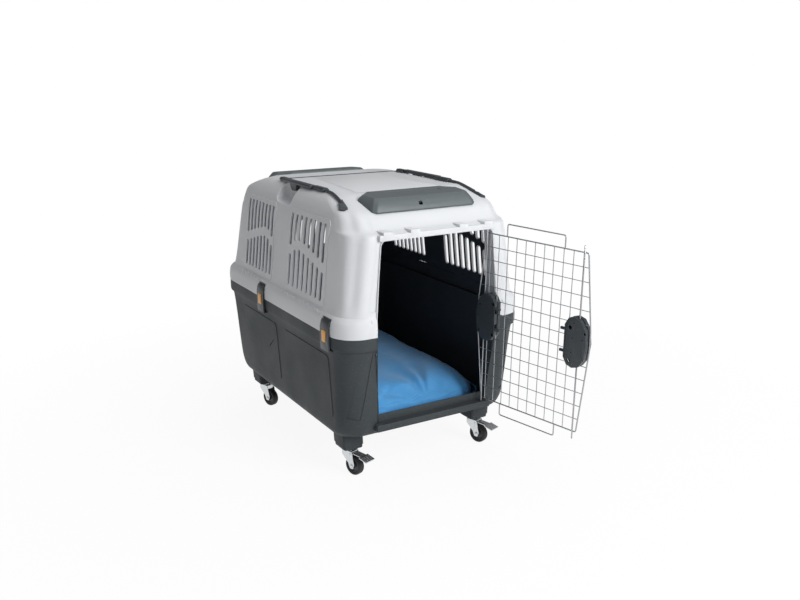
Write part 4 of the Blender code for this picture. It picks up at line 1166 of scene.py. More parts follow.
def on_slope(x: float, v: float, n: float, end: End) -> Point3:
    """A point from lid coordinates to a roof slope.

    Args:
        x: across the crate.
        v: down the slope.
        n: out of the slope.
        end: which slope.

    Returns:
        The point.
    """
    edge = end.value * 0.260
    y = edge + end.value * (v * math.cos(SLOPE) + n * math.sin(SLOPE))
    return (x, y, ROOF - v * math.sin(SLOPE) + n * math.cos(SLOPE))


@dataclass(frozen=True)
class RaisedFields:
    """Fields that stand out a little from both sides and the rear of a form."""

    form: BodyForm
    rise: float
    corner: float
    spans: tuple[Point2, ...]
    heights: Point2
    side_levels: tuple[Point2, ...]
    back: tuple[Point2, Point2]
    back_levels: tuple[Point2, ...]

    def build(self, name: str, finish: Material) -> Piece:
        """Build the fields.

        Args:
            name: the piece's name.
            finish: its material.

        Returns:
            The piece, to be joined to the form.
        """
        low, high = self.heights
        blocks = []
        for start, end in self.spans:
            outline = box_outline((start, low), (end, high), self.corner, 6)
            blocks += [pocket(outline, out_from(side), self.side_levels) for side in (1, -1)]
        blocks.append(pocket(box_outline(*self.back, self.corner, 6), along_y, self.back_levels))
        made = piece_of(name, gathered(blocks), finish)
        carve(made, [tool(f"{name}_face", self.form.skin(-self.rise), finish, "INTERSECT")])
        return made


@dataclass
class TopShell:
    """The upper half of the body: vents, hand recesses, lid seats, ledge and the mouth's top."""

    finishes: Finishes
    slots: int = 8
    slot_width: float = 0.0155
    slot_flare: float = 0.0032
    slot_low: float = SEAM + 0.079
    slot_high: float = SEAM + 0.299
    band_low: float = SEAM + 0.197
    band_high: float = SEAM + 0.224
    front_slots: Point2 = (-0.286, -0.066)
    rear_slots: Point2 = (0.081, 0.274)
    panel_low: float = 0.5165
    panel_high: float = 0.768
    panel_rise: float = 0.0024
    rear_pitch: float = 0.030
    rear_rows: tuple[Point2, Point2] = ((SEAM + 0.079, SEAM + 0.179), (SEAM + 0.206, SEAM + 0.269))
    tick_height: float = 0.5085
    tick_pitch: float = 0.0275

    @staticmethod
    def wave(share: float) -> float:
        """How far the band between the rows drops.

        Args:
            share: the share of the way from the pillar.

        Returns:
            The drop, as a negative height.
        """
        if share < 0.28:
            return -0.022 * (1 - share / 0.28) ** 2
        return -0.036 * ((share - 0.28) / 0.72) ** 1.25

    def slot_rows(self) -> list[tuple[float, float, float]]:
        """Every side slot as (y, lowest z, highest z).

        Returns:
            The slots, the lower and upper row in turn.
        """
        rows = []
        for start, end, from_pillar in (
            (*self.front_slots, True), (*self.rear_slots, False),
        ):
            for i in range(self.slots):
                share = i / (self.slots - 1)
                y = start + (end - start) * share
                drop = self.wave(1 - share if from_pillar else share)
                rows.append((y, self.slot_low, self.band_low + drop))
                rows.append((y, self.band_high + drop, self.slot_high))
        return rows

    def vent_tool(self) -> Shape:
        """Round-ended slots through both sides and the rear.

        Returns:
            The tool that cuts them.
        """
        half = self.slot_width / 2
        tools = []
        for y, low, high in self.slot_rows():
            outline = box_outline((y - half, low), (y + half, high), half * 0.8, 4)
            middle = (low + high) / 2
            face = SHELL_FORM.side_x(middle)
            lean = (SHELL_FORM.side_x(high) - SHELL_FORM.side_x(low)) / (high - low)
            levels = ((face - 0.030, self.slot_flare), (face - 0.0045, self.slot_flare),
                      (face - 0.0008, 0.0), (face + 0.020, 0.0))
            tools += [pocket(outline, out_from(side, lean, middle), levels) for side in (1, -1)]
        for i in range(self.slots):
            x = (i - (self.slots - 1) / 2) * self.rear_pitch
            for low, high in self.rear_rows:
                outline = box_outline((x - half, low), (x + half, high), half * 0.8, 4)
                tools.append(block(outline, along_y, REAR - 0.080, REAR + 0.010))
        return gathered(tools)

    def panels(self) -> Piece:
        """The raised fields round the side vents and round the rear vents.

        Returns:
            The fields, to be joined to the shell.
        """
        fields = RaisedFields(
            form=SHELL_FORM, rise=self.panel_rise, corner=0.016,
            spans=((self.front_slots[0] - 0.028, self.front_slots[1] + 0.020),
                   (self.rear_slots[0] - 0.020, self.rear_slots[1] + 0.022)),
            heights=(self.panel_low, self.panel_high),
            side_levels=((0.200, 0.0), (SIDE - 0.052, 0.0), (SIDE + 0.030, -0.010)),
            back=((-0.128, 0.5175), (0.128, 0.7315)),
            back_levels=((REAR - 0.100, 0.0), (REAR + 0.02, 0.0)),
        )
        return fields.build("panels", self.finishes.shell)

    @staticmethod
    def roof_field() -> Shape:
        """The faint raised field in the middle of the roof.

        Returns:
            The field, to be joined to the shell.
        """
        outline = filleted(mirrored(((0.145, -0.227), (0.101, 0.139))), 0.010, 5)
        levels = ((ROOF - 0.002, 0.0), (ROOF + 0.0002, 0.0), (ROOF + 0.0006, -0.0012))
        return pocket(outline, along_z, levels)

    def strip_tool(self) -> Shape:
        """The shallow strips beside the mouth, the teardrop holes and the rim's slanted marks.

        Returns:
            The tool that cuts them.
        """
        tools = []
        strip_low, strip_high, strip_height = 0.528, 0.722, 0.194
        strip = filleted(
            ((0.180, strip_low), (0.2235, strip_low), (0.2185, 0.640), (0.207, strip_high),
             (0.180, strip_high)), 0.006, 4,
        )
        for side in (1, -1):
            outline = [(side * x, z) for x, z in strip]
            front = FRONT - 0.004
            lean = (lambda a, b, d: (a, d + 0.0020 * (b - strip_low) / strip_height, b))
            tools.append(pocket(outline, lean, ((FRONT + 0.0100, -0.001), (front, 0.0045))))
            drop = []
            for a, b in disc(0.0042, 20):
                narrow, tall = (0.7, 1.9) if b > 0 else (1.0, 1.0)
                drop.append((side * 0.223 + a * narrow, 0.502 + b * tall))
            tools.append(pocket(drop, along_y, ((FRONT + 0.0040, -0.0008), (FRONT - 0.01, 0.0008))))
            for y in (0.268, -0.308):
                mark = ((y - 0.0075, 0.5025), (y - 0.0045, 0.5015), (y + 0.0085, 0.5135),
                        (y + 0.0055, 0.5145))
                ends = (side * (SIDE - 0.0085), side * (SIDE + 0.004))
                tools.append(block(mark, along_x, *sorted(ends)))
        return gathered(tools)

    @staticmethod
    def hand_scoop(side: int, whole: bool) -> Shape:
        """The finger space beside a grip.

        Args:
            side: 1 for the right, -1 for the left.
            whole: whether it is the space itself or the wall's limit round it.

        Returns:
            The shape.
        """
        low, high, floor = -0.035, 0.078, ROOF - 0.057
        place = out_from(side)
        if not whole:
            outline = box_outline((low - WALL, floor - WALL), (high + WALL, ROOF + 0.03), 0.018, 5)
            return block(outline, place, GRIP_X - 0.006, SIDE + 0.07)
        outline = box_outline((low, floor), (high, ROOF + 0.06), 0.026, 8)
        levels = ((GRIP_X - 0.0015, -0.018), (GRIP_X + 0.0005, -0.012), (GRIP_X + 0.004, -0.007),
                  (GRIP_X + 0.010, -0.003), (GRIP_X + 0.018, -0.0008), (GRIP_X + 0.030, 0.0),
                  (SIDE + 0.06, 0.0))
        return pocket(outline, place, levels)

    @staticmethod
    def locker(end: End, grow: float = 0.0) -> Shape:
        """The storage space under a lid.

        Args:
            end: which lid.
            grow: how much larger all round.

        Returns:
            The shape.
        """
        half = SIDE - 0.197 + grow
        outline = box_outline(
            (-half, 0.014 - grow), (half, SLOPE_LENGTH - 0.022 + grow), 0.012 + grow, 5,
        )
        place = (lambda a, b, d: on_slope(a, b, d, end))
        levels = ((-0.042 - grow, -0.004), (-0.038 - grow, -0.001), (-0.034, 0.0), (0.010, 0.0))
        return pocket(outline, place, levels)

    @staticmethod
    def clip_pocket(side: int, y: float, grow: float = 0.0) -> Shape:
        """The rim's pocket behind a clip's head.

        Args:
            side: 1 for the right, -1 for the left.
            y: the clip's place.
            grow: how much larger all round.

        Returns:
            The shape.
        """
        half = 0.0262 + grow
        outline = box_outline((y - half, SEAM + 0.0275 - grow), (y + half, SEAM + 0.05), 0.002, 3)
        ends = sorted((side * (SIDE - 0.015 - grow), side * (SIDE + 0.02)))
        return block(outline, along_x, *ends)

    def ledge(self) -> tuple[Shape, Shape]:
        """The ledge over the mouth, and its four pads.

        Returns:
            The ledge and the pads.
        """
        outline = box_outline((-0.194, OPENING_TOP - 0.001), (0.194, 0.7395), 0.004, 4)
        parts = [block(outline, along_y, LEDGE_FRONT, FRONT + 0.022, 0.0022)]
        for x in (HINGE_X, 0.081, -0.081, -HINGE_X):
            pad = box_outline((x - 0.015, OPENING_TOP + 0.004), (x + 0.015, 0.7475), 0.0030, 4)
            parts.append(block(pad, along_y, LEDGE_FRONT - 0.0004, LEDGE_FRONT + 0.046, 0.0014))
        return gathered(parts[:1]), gathered(parts[1:])

    def cavity(self) -> Piece:
        """The inside of the shell, clear of its reveal, recesses, lockers and pockets.

        Returns:
            The tool that hollows the shell.
        """
        shell = SHELL_FORM.levels
        levels = [replace(shell[0], height=SEAM - 0.010)]
        levels += [replace(level, height=level.height - WALL) for level in shell[1:]]
        # the shell's inside takes the dark finish, which is painted shade on light grey plastic
        dark = self.finishes.inside
        made = piece_of("shell_cavity", BodyForm(tuple(levels)).skin(WALL), dark)
        pockets = [self.clip_pocket(s, y, 0.003) for s in (1, -1) for y in CLIP_PLACES]
        carve(made, [
            tool("reveal", mouth_block(0.0035, 0.0), dark),
            tool("scoops", gathered([self.hand_scoop(side, False) for side in (1, -1)]), dark),
            tool("lockers", gathered([self.locker(end, 0.003) for end in End]), dark),
            tool("pockets", gathered(pockets), dark),
        ])
        return made

    def build(self) -> None:
        """Build the shell and hand it to the frame."""
        grey = self.finishes.shell
        shell = piece_of("top_shell_moulding", SHELL_FORM.skin(), grey)
        ledge, pads = self.ledge()
        places = [(side, y) for side in (1, -1) for y in CLIP_PLACES]
        pivots = [
            block(disc(0.0025, 12, (side * (SIDE - 0.006), SEAM + 0.0385)), along_y,
                  y - 0.029, y + 0.029)
            for side, y in places
        ]
        lid = RoofLid(self.finishes, End.DOOR)
        carve(shell, [
            (self.panels(), "UNION"),
            tool("roof_field", self.roof_field(), grey, "UNION"),
            tool("strip_tool", self.strip_tool(), grey),
            tool("ledge", ledge, grey, "UNION"),
            tool("pads", pads, grey, "UNION"),
            (self.cavity(), "DIFFERENCE"),
            tool("mouth", mouth_block(0.0, 0.03), grey),
            tool("scoops", gathered([self.hand_scoop(side, True) for side in (1, -1)]), grey),
            tool("seats", gathered([lid.seat(end) for end in End]), grey),
            tool("lockers", gathered([self.locker(end) for end in End]), grey),
            tool("pockets", gathered([self.clip_pocket(side, y) for side, y in places]), grey),
            tool("pivots", gathered(pivots), grey),
            tool("vents", self.vent_tool(), grey),
            tool("sockets", rod_sockets(OPENING_TOP - 0.004, OPENING_TOP + 0.0105), grey),
        ])
        show(shell, "crate_body", Slot.SHELL, "top_shell")

    def build_trim(self, recipes: Recipes) -> None:
        """Add the lip round the mouth and the ticks under the side panels.

        Args:
            recipes: the Geometry Nodes trees.
        """
        upper = [
            (x, SHELL_FORM.front_y(z) + 0.0002, z) for x, z in opening_outline(0.0010)
            if z > SEAM + 0.0015
        ]
        start = min(range(len(upper)), key=lambda i: (upper[i][0] < 0, upper[i][2]))
        line = upper[start:] + upper[:start]
        line = [(x, max(y, LEDGE_FRONT + 0.0006), z) for x, y, z in line]
        # The lip stops short of the door's rods, which enter the ledge when the door is shut.
        rod_gap = 0.008
        _, top_y, top_z = max(line, key=lambda point: point[2])
        across = [(side * (HINGE_X - rod_gap), top_y, top_z) for side in (1, -1)]
        sides = [[point for point in line if side * point[0] > HINGE_X + rod_gap] for side in (1, -1)]
        lip = recipes.wires("mouth_lip", [sides[0], across, sides[1]], 0.0016, self.finishes.shell, 8)
        show(lip, "crate_body", Slot.SHELL)
        # The ticks start behind a rear clip, which swings out through their place.
        clip_room = 0.037
        for side, word in ((1, "right"), (-1, "left")):
            lines = []
            x = side * (SHELL_FORM.side_x(self.tick_height) + 0.0004)
            for start, end in (self.front_slots, self.rear_slots):
                behind_clips = [y + clip_room for y in CLIP_PLACES if y < end]
                first = max([start - 0.01, *behind_clips])
                lines.append([(x, y, self.tick_height) for y in (first, end + 0.01)])
            tick = block(box_outline((-0.0016, -0.0062), (0.0016, 0.0062), 0.0012, 2), along_z,
                         -0.0015, 0.0015, 0.0005)
            ticks = recipes.row_along(f"{word}_rim_ticks", lines, tick, self.tick_pitch, self.finishes.shell)
            show(ticks, "crate_body", Slot.SHELL)


@dataclass
class BaseTub:
    """The lower half of the body: rim band, shallow panels, front folds, sill and caster legs."""

    finishes: Finishes
    floor: float = 0.005
    panel_rise: float = 0.0016
    leg_half: Point2 = (0.031, 0.034)
    leg_bottom: float = 0.0858
    leg_top: float = TUB_BOTTOM + 0.124
    channels: int = 7
    channel_pitch: float = 0.08
    first_channel: float = -0.24

    def inner_form(self) -> BodyForm:
        """The form of the inside.

        Returns:
            The form, from which the wall is still taken off.
        """
        tub = TUB_FORM.levels
        levels = [replace(tub[1], height=TUB_BOTTOM + self.floor)]
        levels += [replace(level, height=level.height + 0.003) for level in tub[2:4]]
        levels += [tub[4], replace(tub[4], height=SEAM + 0.06)]
        return BodyForm(tuple(levels))

    def leg(self, x: float, y: float) -> Shape:
        """One leg over a caster.

        Args:
            x: its place across.
            y: its place along.

        Returns:
            The shape.
        """
        sections = ((self.leg_bottom, -0.0012), (self.leg_bottom + 0.0012, 0.0),
                    (self.leg_bottom + 0.010, 0.0003), (self.leg_bottom + 0.0112, 0.0022),
                    (TUB_BOTTOM + 0.010, 0.0026), (self.leg_top, 0.006))
        rings = []
        for height, grow in sections:
            half_x, half_y = self.leg_half[0] + grow, self.leg_half[1] + grow
            outline = box_outline((-half_x, -half_y), (half_x, half_y), 0.010, 5)
            shift = 0.010 * (height - self.leg_bottom) / (self.leg_top - self.leg_bottom)
            rings.append([(x + a + math.copysign(shift, x), y + b, height) for a, b in outline])
        return shape_of(rings)

    def panels(self) -> Piece:
        """The raised fields on both sides and the rear.

        Returns:
            The fields, to be joined to the tub.
        """
        fields = RaisedFields(
            form=TUB_FORM, rise=self.panel_rise, corner=0.018,
            spans=((-0.352, -0.040), (0.018, 0.302)), heights=(0.198, 0.392),
            side_levels=((0.25, 0.0), (SIDE - 0.024, 0.0), (SIDE + 0.03, -0.012)),
            back=((-0.170, 0.200), (0.170, 0.392)),
            back_levels=((REAR - 0.08, 0.0), (REAR + 0.02, -0.006)),
        )
        return fields.build("tub_panels", self.finishes.tub)

    def folds(self) -> Piece:
        """What the two slanted folds beside the mouth take off the skin.

        Returns:
            The tool that cuts them.
        """
        fold = filleted(((-0.2145, 0.4145), (-0.2485, 0.4145), (-0.2765, 0.212), (-0.2445, 0.206)),
                        0.004, 4)
        levels = ((FRONT + 0.08, 0.0), (FRONT + 0.016, 0.0), (FRONT - 0.01, 0.004))
        tools = [pocket([(-side * x, z) for x, z in fold], along_y, levels) for side in (1, -1)]
        made = piece_of("fold_tool", gathered(tools), self.finishes.tub)
        carve(made, [tool("fold_floor", TUB_FORM.skin(0.0018), self.finishes.tub)])
        return made

    def mark_tool(self) -> Shape:
        """The moulded tick on each side, the slits by the folds and the underside's channels.

        Returns:
            The tool that cuts them.
        """
        tools = []
        for side in (1, -1):
            tick = ((0.092, 0.2925), (0.0455, 0.3295), (0.0465, 0.3315), (0.0935, 0.2945))
            ends = sorted((side * (TUB_FORM.side_x(0.31) - 0.0030), side * (SIDE + 0.01)))
            tools.append(block(tick, along_x, *ends))
            slit = box_outline((side * 0.206 - 0.0045, 0.4005), (side * 0.206 + 0.0045, 0.4065),
                               0.002, 3)
            tools.append(block(slit, along_y, FRONT - 0.01, TUB_FORM.front_y(0.404) + 0.003))
        for i in range(self.channels):
            y = self.first_channel + self.channel_pitch * i
            groove = box_outline((-0.150, y - 0.012), (0.150, y + 0.012), 0.010, 4)
            tools.append(pocket(groove, along_z, ((TUB_BOTTOM + 0.0022, -0.0015),
                                                  (TUB_BOTTOM - 0.01, 0.001))))
        return gathered(tools)

    def build(self) -> None:
        """Build the tub and hand it to the frame."""
        # the tub's inside takes the dark finish, near the tub's own grey
        grey, dark = self.finishes.tub, self.finishes.inside
        tub = piece_of("base_tub_moulding", TUB_FORM.skin(), grey)
        inner = self.inner_form()
        cavity = piece_of("tub_cavity", inner.skin(WALL), dark)
        carve(cavity, [tool("reveal_keep", mouth_block(0.0035, 0.0), dark)])
        places = [(sx * CASTER_X, sy * CASTER_Y) for sx in (1, -1) for sy in (1, -1)]
        legs = piece_of("legs", gathered([self.leg(x, y) for x, y in places]), grey)
        carve(legs, [tool("leg_limit", inner.skin(WALL), dark)])
        sill_end = REVEAL_END - 0.006
        outline = box_outline((-0.198, 0.165), (0.198, SILL_TOP + 0.001), 0.003, 3)
        sill = block(outline, along_y, hinge_y(SILL_TOP) - 0.0045, sill_end, 0.0016)
        outline = box_outline((-0.188, SILL_TOP - 0.012), (0.188, SILL_TOP + 0.022), 0.0015, 2)
        riser = block(outline, along_y, REVEAL_END - 0.010, sill_end, 0.001)
        carve(tub, [
            (self.panels(), "UNION"),
            (self.folds(), "DIFFERENCE"),
            tool("sill", sill, grey, "UNION"),
            (cavity, "DIFFERENCE"),
            (legs, "UNION"),
            tool("mouth", mouth_block(0.0, 0.03), grey),
            tool("riser", riser, grey, "UNION"),
            tool("marks", self.mark_tool(), grey),
            tool("sockets", rod_sockets(SILL_TOP - 0.0105, SILL_TOP + 0.004), grey),
        ])
        show(tub, "crate_body", Slot.TUB, "base_tub")

    def build_trim(self, recipes: Recipes) -> None:
        """Add the lip round the lower part of the mouth.

        Args:
            recipes: the Geometry Nodes trees.
        """
        lower = [(x, z) for x, z in opening_outline(0.0010) if z < SEAM - 0.001]
        lines = []
        for side in (1, -1):
            half = sorted([p for p in lower if side * p[0] > 0], key=lambda p: -p[1])
            kept = [(side * (SIDE - 0.1095), SEAM - 0.0012)]
            kept += [p for p in half if p[1] > SILL_TOP + 0.004]
            lines.append([(x, TUB_FORM.front_y(z) + 0.0002, z) for x, z in kept])
        lip = recipes.wires("lower_mouth_lip", lines, 0.0014, self.finishes.tub, 8)
        show(lip, "crate_body", Slot.TUB)


@dataclass
class RoofLid:
    """A storage lid that lies on a roof slope."""

    finishes: Finishes
    end: End
    skin: float = 0.003
    edge: float = 0.004
    rise: float = 0.26

    @staticmethod
    def outline(grow: float = 0.0) -> list[Point2]:
        """The lid's outline in (x, distance down the slope).

        Args:
            grow: how much larger it is all round.

        Returns:
            The outline.
        """
        half = ((0.127, 0.0), (0.177, 0.31 * SLOPE_LENGTH), (0.173, SLOPE_LENGTH - 0.010),
                (0.161, SLOPE_LENGTH - 0.0005))
        return grown(filleted(mirrored(half), 0.010, 6), grow)

    def seat(self, end: End) -> Shape:
        """The shallow seat in the shell for the lid at an end."""
        place = (lambda a, b, d: on_slope(a, b, d, end))
        return pocket(self.outline(0.0006), place, ((-0.001, 0.0), (0.010, 0.0)))

    def drawn(self, share: float, inset: float) -> list[Point2]:
        """The outline drawn in towards the deck's own.

        Args:
            share: 0 at the foot of the raised sides and 1 at the deck.
            inset: how far the inner face is from the outer one.

        Returns:
            The outline.
        """
        points = []
        for x, v in self.outline():
            along = v / SLOPE_LENGTH
            moved_x = math.copysign(abs(x) - 0.020 * share - inset, x)
            moved_v = v + (0.004 * share + inset) * (1 - along) - (0.034 * share + inset) * along
            points.append((moved_x, moved_v))
        return points

    def body(self, inset: float = 0.0) -> Shape:
        """The raised form, or the hollow under it when an inset is given.

        Args:
            inset: how far the inner face is from the outer one.

        Returns:
            The shape.
        """
        foot = -0.0007 if not inset else -0.004
        rings = [[on_slope(x, v, foot, self.end) for x, v in self.drawn(0.0, inset)]]
        steps = ((0.0, -0.0008, 0.0), (0.03, -0.0002, 0.02), (0.10, 0.0004, 0.12), (0.5, 0.0, 0.52),
                 (0.84, 0.0, 0.88), (0.94, -0.0004, 0.965), (1.03, -0.0008, 0.995),
                 (1.12, -0.0009, 1.0))
        for share, extra, up in steps:
            ring = []
            for x, v in self.drawn(share, inset):
                high = 0.0015 + self.rise * max(v, 0.0)
                ring.append(on_slope(x, v, self.edge - inset + extra + high * up, self.end))
            rings.append(ring)
        return shape_of(rings)

    def build(self) -> None:
        """Build the lid and hand it to the frame."""
        word = "front" if self.end is End.DOOR else "rear"
        finish = self.finishes.lid
        lid = piece_of(f"{word}_lid_moulding", self.body(), finish, 22.0)
        low, high = 0.026, 0.052
        outline = box_outline((-0.098, low), (0.098, high), 0.004, 4)
        middle = self.edge + (0.0015 + self.rise * low + (0.0015 + self.rise * high)) / 2 - 0.0009
        tilt = (lambda a, b, d: on_slope(a, b, d + self.rise * (b - 0.039), self.end))
        field_tool = pocket(outline, tilt, ((middle - 0.0009, -0.001), (middle + 0.02, 0.008)))
        notch_x, half = -0.0155, 0.006
        notch = box_outline((notch_x - half, SLOPE_LENGTH - 0.0165),
                            (notch_x + half, SLOPE_LENGTH - 0.008), 0.002, 3)
        place = (lambda a, b, d: on_slope(a, b, d, self.end))
        carve(lid, [
            tool("lid_hollow", self.body(self.skin), finish),
            tool("lid_field", field_tool, finish),
            tool("lid_notch", pocket(notch, place, ((0.006, 0.0), (0.05, 0.001))),
                 self.finishes.black),
        ])
        show(lid, f"{word}_lid", Slot.LID, f"{word}_lid")


@dataclass
class RoofHardware:
    """The carry grips with the fixed rails that hold their pins."""

    frame: dict
    finishes: Finishes
    recipes: Recipes
    grip_edge: float = 0.0011
    rail_edge: float = 0.0007
    ribs: int = 6

    def foot_ribs(self, node: str) -> list[list[Point3]]:
        """Lines across the top face of a rail's foot.

        Args:
            node: the CAD node of the rail.

        Returns:
            One short line for each rib.
        """
        faces = [
            face for face in self.frame["nodes"][node].data.polygons
            if face.center.y < BODY_SHIFT - 0.270 and face.normal.z > 0.55
        ]
        widest = max(faces, key=lambda face: face.area)
        top = [face for face in faces if face.normal.dot(widest.normal) > 0.999]
        area = sum(face.area for face in top)
        centre = sum((face.center * face.area for face in top), Vector()) / area
        normal = widest.normal.copy()
        ahead = Vector((0.0, -1.0, 0.0))
        ahead = (ahead - normal * ahead.dot(normal)).normalized()
        across = normal.cross(ahead).normalized()
        lines = []
        for i in range(self.ribs):
            spot = centre + ahead * (-0.014 + 0.0062 * i) - Vector((0.0, BODY_SHIFT, 0.0))
            reach = 0.0082 - 0.0006 * i
            lines.append([tuple(spot + across * reach * t) for t in (-1.0, -0.5, 0.0, 0.5, 1.0)])
        return lines

    def build(self) -> None:
        """Round the CAD nodes' edges and hand the pieces to the frame."""
        black = self.finishes.black
        for word in ("left", "right"):
            node = f"{word}_carry_grip"
            grip = refined(self.frame, node, f"{word}_grip_bar", black, self.grip_edge, 3)
            show(grip, node, Slot.BLACK, node)
            node = f"{word}_front_roof_rail"
            rail = refined(self.frame, node, f"{word}_rail_with_foot", black, self.rail_edge)
            show(rail, "crate_body", Slot.BLACK, node)
            ribs = self.recipes.wires(f"{word}_foot_ribs", self.foot_ribs(node), 0.0011, black, 8)
            show(ribs, "crate_body", Slot.BLACK)
        rail = refined(self.frame, "rear_roof_rail", "rear_crossbar", black, self.rail_edge)
        show(rail, "crate_body", Slot.BLACK, "rear_roof_rail")


@dataclass
class SideClips:
    """The four clips that hold the halves together, with their push buttons."""

    frame: dict
    finishes: Finishes
    edge: float = 0.0011

    def build(self) -> None:
        """Round the CAD nodes' edges and hand the pieces to the frame."""
        for side in ("left", "right"):
            for place in ("front", "rear"):
                node = f"clip_{side}_{place}"
                clip = refined(self.frame, node, f"{node}_body", self.finishes.black, self.edge, 3)
                show(clip, node, Slot.BLACK, node)
                node = f"clip_button_{side}_{place}"
                button = refined(self.frame, node, f"{node}_cap", self.finishes.orange, 0.0009, 3)
                show(button, node, Slot.ORANGE, node)


@dataclass
class Door:
    """The welded wire door with its two latches."""

    frame: dict
    finishes: Finishes
    recipes: Recipes
    open_degrees: float = 103.0
    reference: float = SEAM + 0.004
    top: float = OPENING_TOP - 0.0125 - (SEAM + 0.004)
    bottom: float = SILL_TOP + 0.011 - (SEAM + 0.004)
    frame_wire: float = 0.0020
    mesh_wire: float = 0.0012
    uprights: int = 11
    crossings: int = 12
    pitch: float = 2 * (HINGE_X + 0.0252) / 12
    loop_half: float = 0.100
    loop_height: float = 0.036
    mesh_offset: float = 0.0006
    plane: float = 0.0075
    cover_face: float = 0.014
    rod_wire: float = 0.0020
    rod_tip: float = 0.0014
    rod_chamfer: float = 0.0007
    place: Matrix = field(init=False)

    def __post_init__(self) -> None:
        """Work out where the open door stands."""
        lean = math.atan2(hinge_y(SILL_TOP) - hinge_y(OPENING_TOP), OPENING_TOP - SILL_TOP)
        spot = Matrix.Translation((HINGE_X, hinge_y(self.reference), self.reference))
        turn = Matrix.Rotation(math.radians(self.open_degrees), 4, "Z")
        self.place = spot @ Matrix.Rotation(lean, 4, "X") @ turn

    def at(self, x: float, z: float, inward: float = 0.0) -> Point3:
        """A point of the door from its middle, set where the open door stands."""
        return tuple(self.place @ Vector((x - HINGE_X, inward - self.plane, z)))

    def half_outline(self) -> tuple[Point2, ...]:
        """The right half of the frame's outline, bottom to top."""
        return ((0.1745, self.bottom), (0.1995, -0.020), (0.1995, 0.035), (0.176, self.top))

    def half_width(self, height: float) -> float:
        """The frame's half width at a height.

        Args:
            height: the height from the door's middle.

        Returns:
            The half width.
        """
        points = self.half_outline()
        for (x0, z0), (x1, z1) in zip(points, points[1:]):
            if z0 <= height <= z1:
                return x0 + (x1 - x0) * (height - z0) / (z1 - z0)
        return points[0][0]

    def build_wires(self) -> None:
        """Build the frame, the mesh and the stop loops."""
        half = self.half_outline()
        radii = (0.008, 0.15, 0.15, 0.008, 0.008, 0.15, 0.15, 0.008)
        outline = filleted(mirrored(half), radii, 8)
        wire = self.finishes.wire
        rim = self.recipes.wires(
            "door_frame", [[self.at(x, z) for x, z in outline]], self.frame_wire, wire, 12, True,
        )
        show(rim, "door", Slot.WIRE, "wire_door")
        lines = []
        for i in range(self.uprights):
            x = (i - (self.uprights - 1) / 2) * self.pitch
            lines.append([
                self.at(x, self.bottom + (self.top - self.bottom) * t / 8, -self.mesh_offset)
                for t in range(9)
            ])
        step = (self.top - self.bottom) / (self.crossings + 1)
        for i in range(self.crossings):
            z = self.bottom + step * (i + 1)
            reach = self.half_width(z)
            lines.append([self.at(reach * (t / 4 - 1), z, self.mesh_offset) for t in range(9)])
        mesh = self.recipes.wires("door_mesh", lines, self.mesh_wire, wire, 8)
        show(mesh, "door", Slot.WIRE, "wire_door")
        loops = []
        for level, rise in ((self.top, self.loop_height), (self.bottom, -self.loop_height)):
            corners = ((-self.loop_half, level), (-self.loop_half, level + rise),
                       (self.loop_half, level + rise), (self.loop_half, level))
            outline = filleted(corners, (0.0, 0.007, 0.007, 0.0), 6)
            loops.append([self.at(x, z, 0.0) for x, z in outline])
        loop = self.recipes.wires("door_stop_loops", loops, self.frame_wire * 0.95, wire, 12)
        show(loop, "door", Slot.WIRE, "wire_door")

    def latch_holes(self, side: int) -> list[tuple[float, float, float]]:
        """The moulded holes in a latch cover.

        Args:
            side: 1 at the hinge, -1 at the free side.

        Returns:
            Each hole as (x, z, radius), about the door's middle.
        """
        if side < 0:
            holes = ((-0.310, 0.041, 0.0058), (-0.311, -0.055, 0.0058), (-0.358, 0.032, 0.0040),
                     (-0.358, -0.0475, 0.0040), (-0.322, 0.055, 0.0016), (-0.319, 0.013, 0.0016),
                     (-0.351, 0.014, 0.0016), (-0.318, -0.029, 0.0016), (-0.349, -0.029, 0.0016),
                     (-0.323, -0.063, 0.0016), (-0.349, -0.067, 0.0016), (-0.353, 0.054, 0.0016))
        else:
            holes = ((-0.037, 0.045, 0.0055), (-0.037, -0.050, 0.0055), (0.013, 0.036, 0.0040),
                     (0.015, -0.045, 0.0040), (-0.025, 0.015, 0.0016), (-0.027, -0.025, 0.0016),
                     (0.020, 0.0, 0.0016))
        return [(x + HINGE_X, z, radius) for x, z, radius in holes]

    def build_latches(self) -> None:
        """Dress the covers, sliders, rods and springs."""
        black = self.finishes.black
        for side, word in ((1, "hinge"), (-1, "free")):
            for half in ("inner", "outer"):
                node = f"{word}_latch_{half}_cover"
                cover = refined(self.frame, node, f"{word}_latch_{half}_half", black, 0.0014, 3)
                face = self.cover_face if half == "inner" else -self.cover_face
                tools = []
                for x, z, radius in self.latch_holes(side):
                    rings = []
                    for depth, grow in ((face * 0.72, -0.0004), (face * 0.97, 0.0),
                                        (face * 1.3, 0.0012)):
                        rings.append([self.at(x + a, z + b, depth)
                                      for a, b in disc(radius + grow, 16)])
                    tools.append(shape_of(rings))
                holes = piece_of("latch_holes", gathered(tools), self.finishes.inside)
                carve(cover, [(holes, "DIFFERENCE")])
                show(cover, "door", Slot.BLACK, node)
            for level in ("upper", "lower"):
                body = f"{word}_{level}_bolt"
                node = f"{word}_{level}_slider"
                slider = refined(self.frame, node, f"{node}_with_tab", black, 0.0008, 2)
                show(slider, body, Slot.BLACK, node)
                self.build_rod(side, body, f"{word}_{level}_rod")
            self.build_spring(side, word)

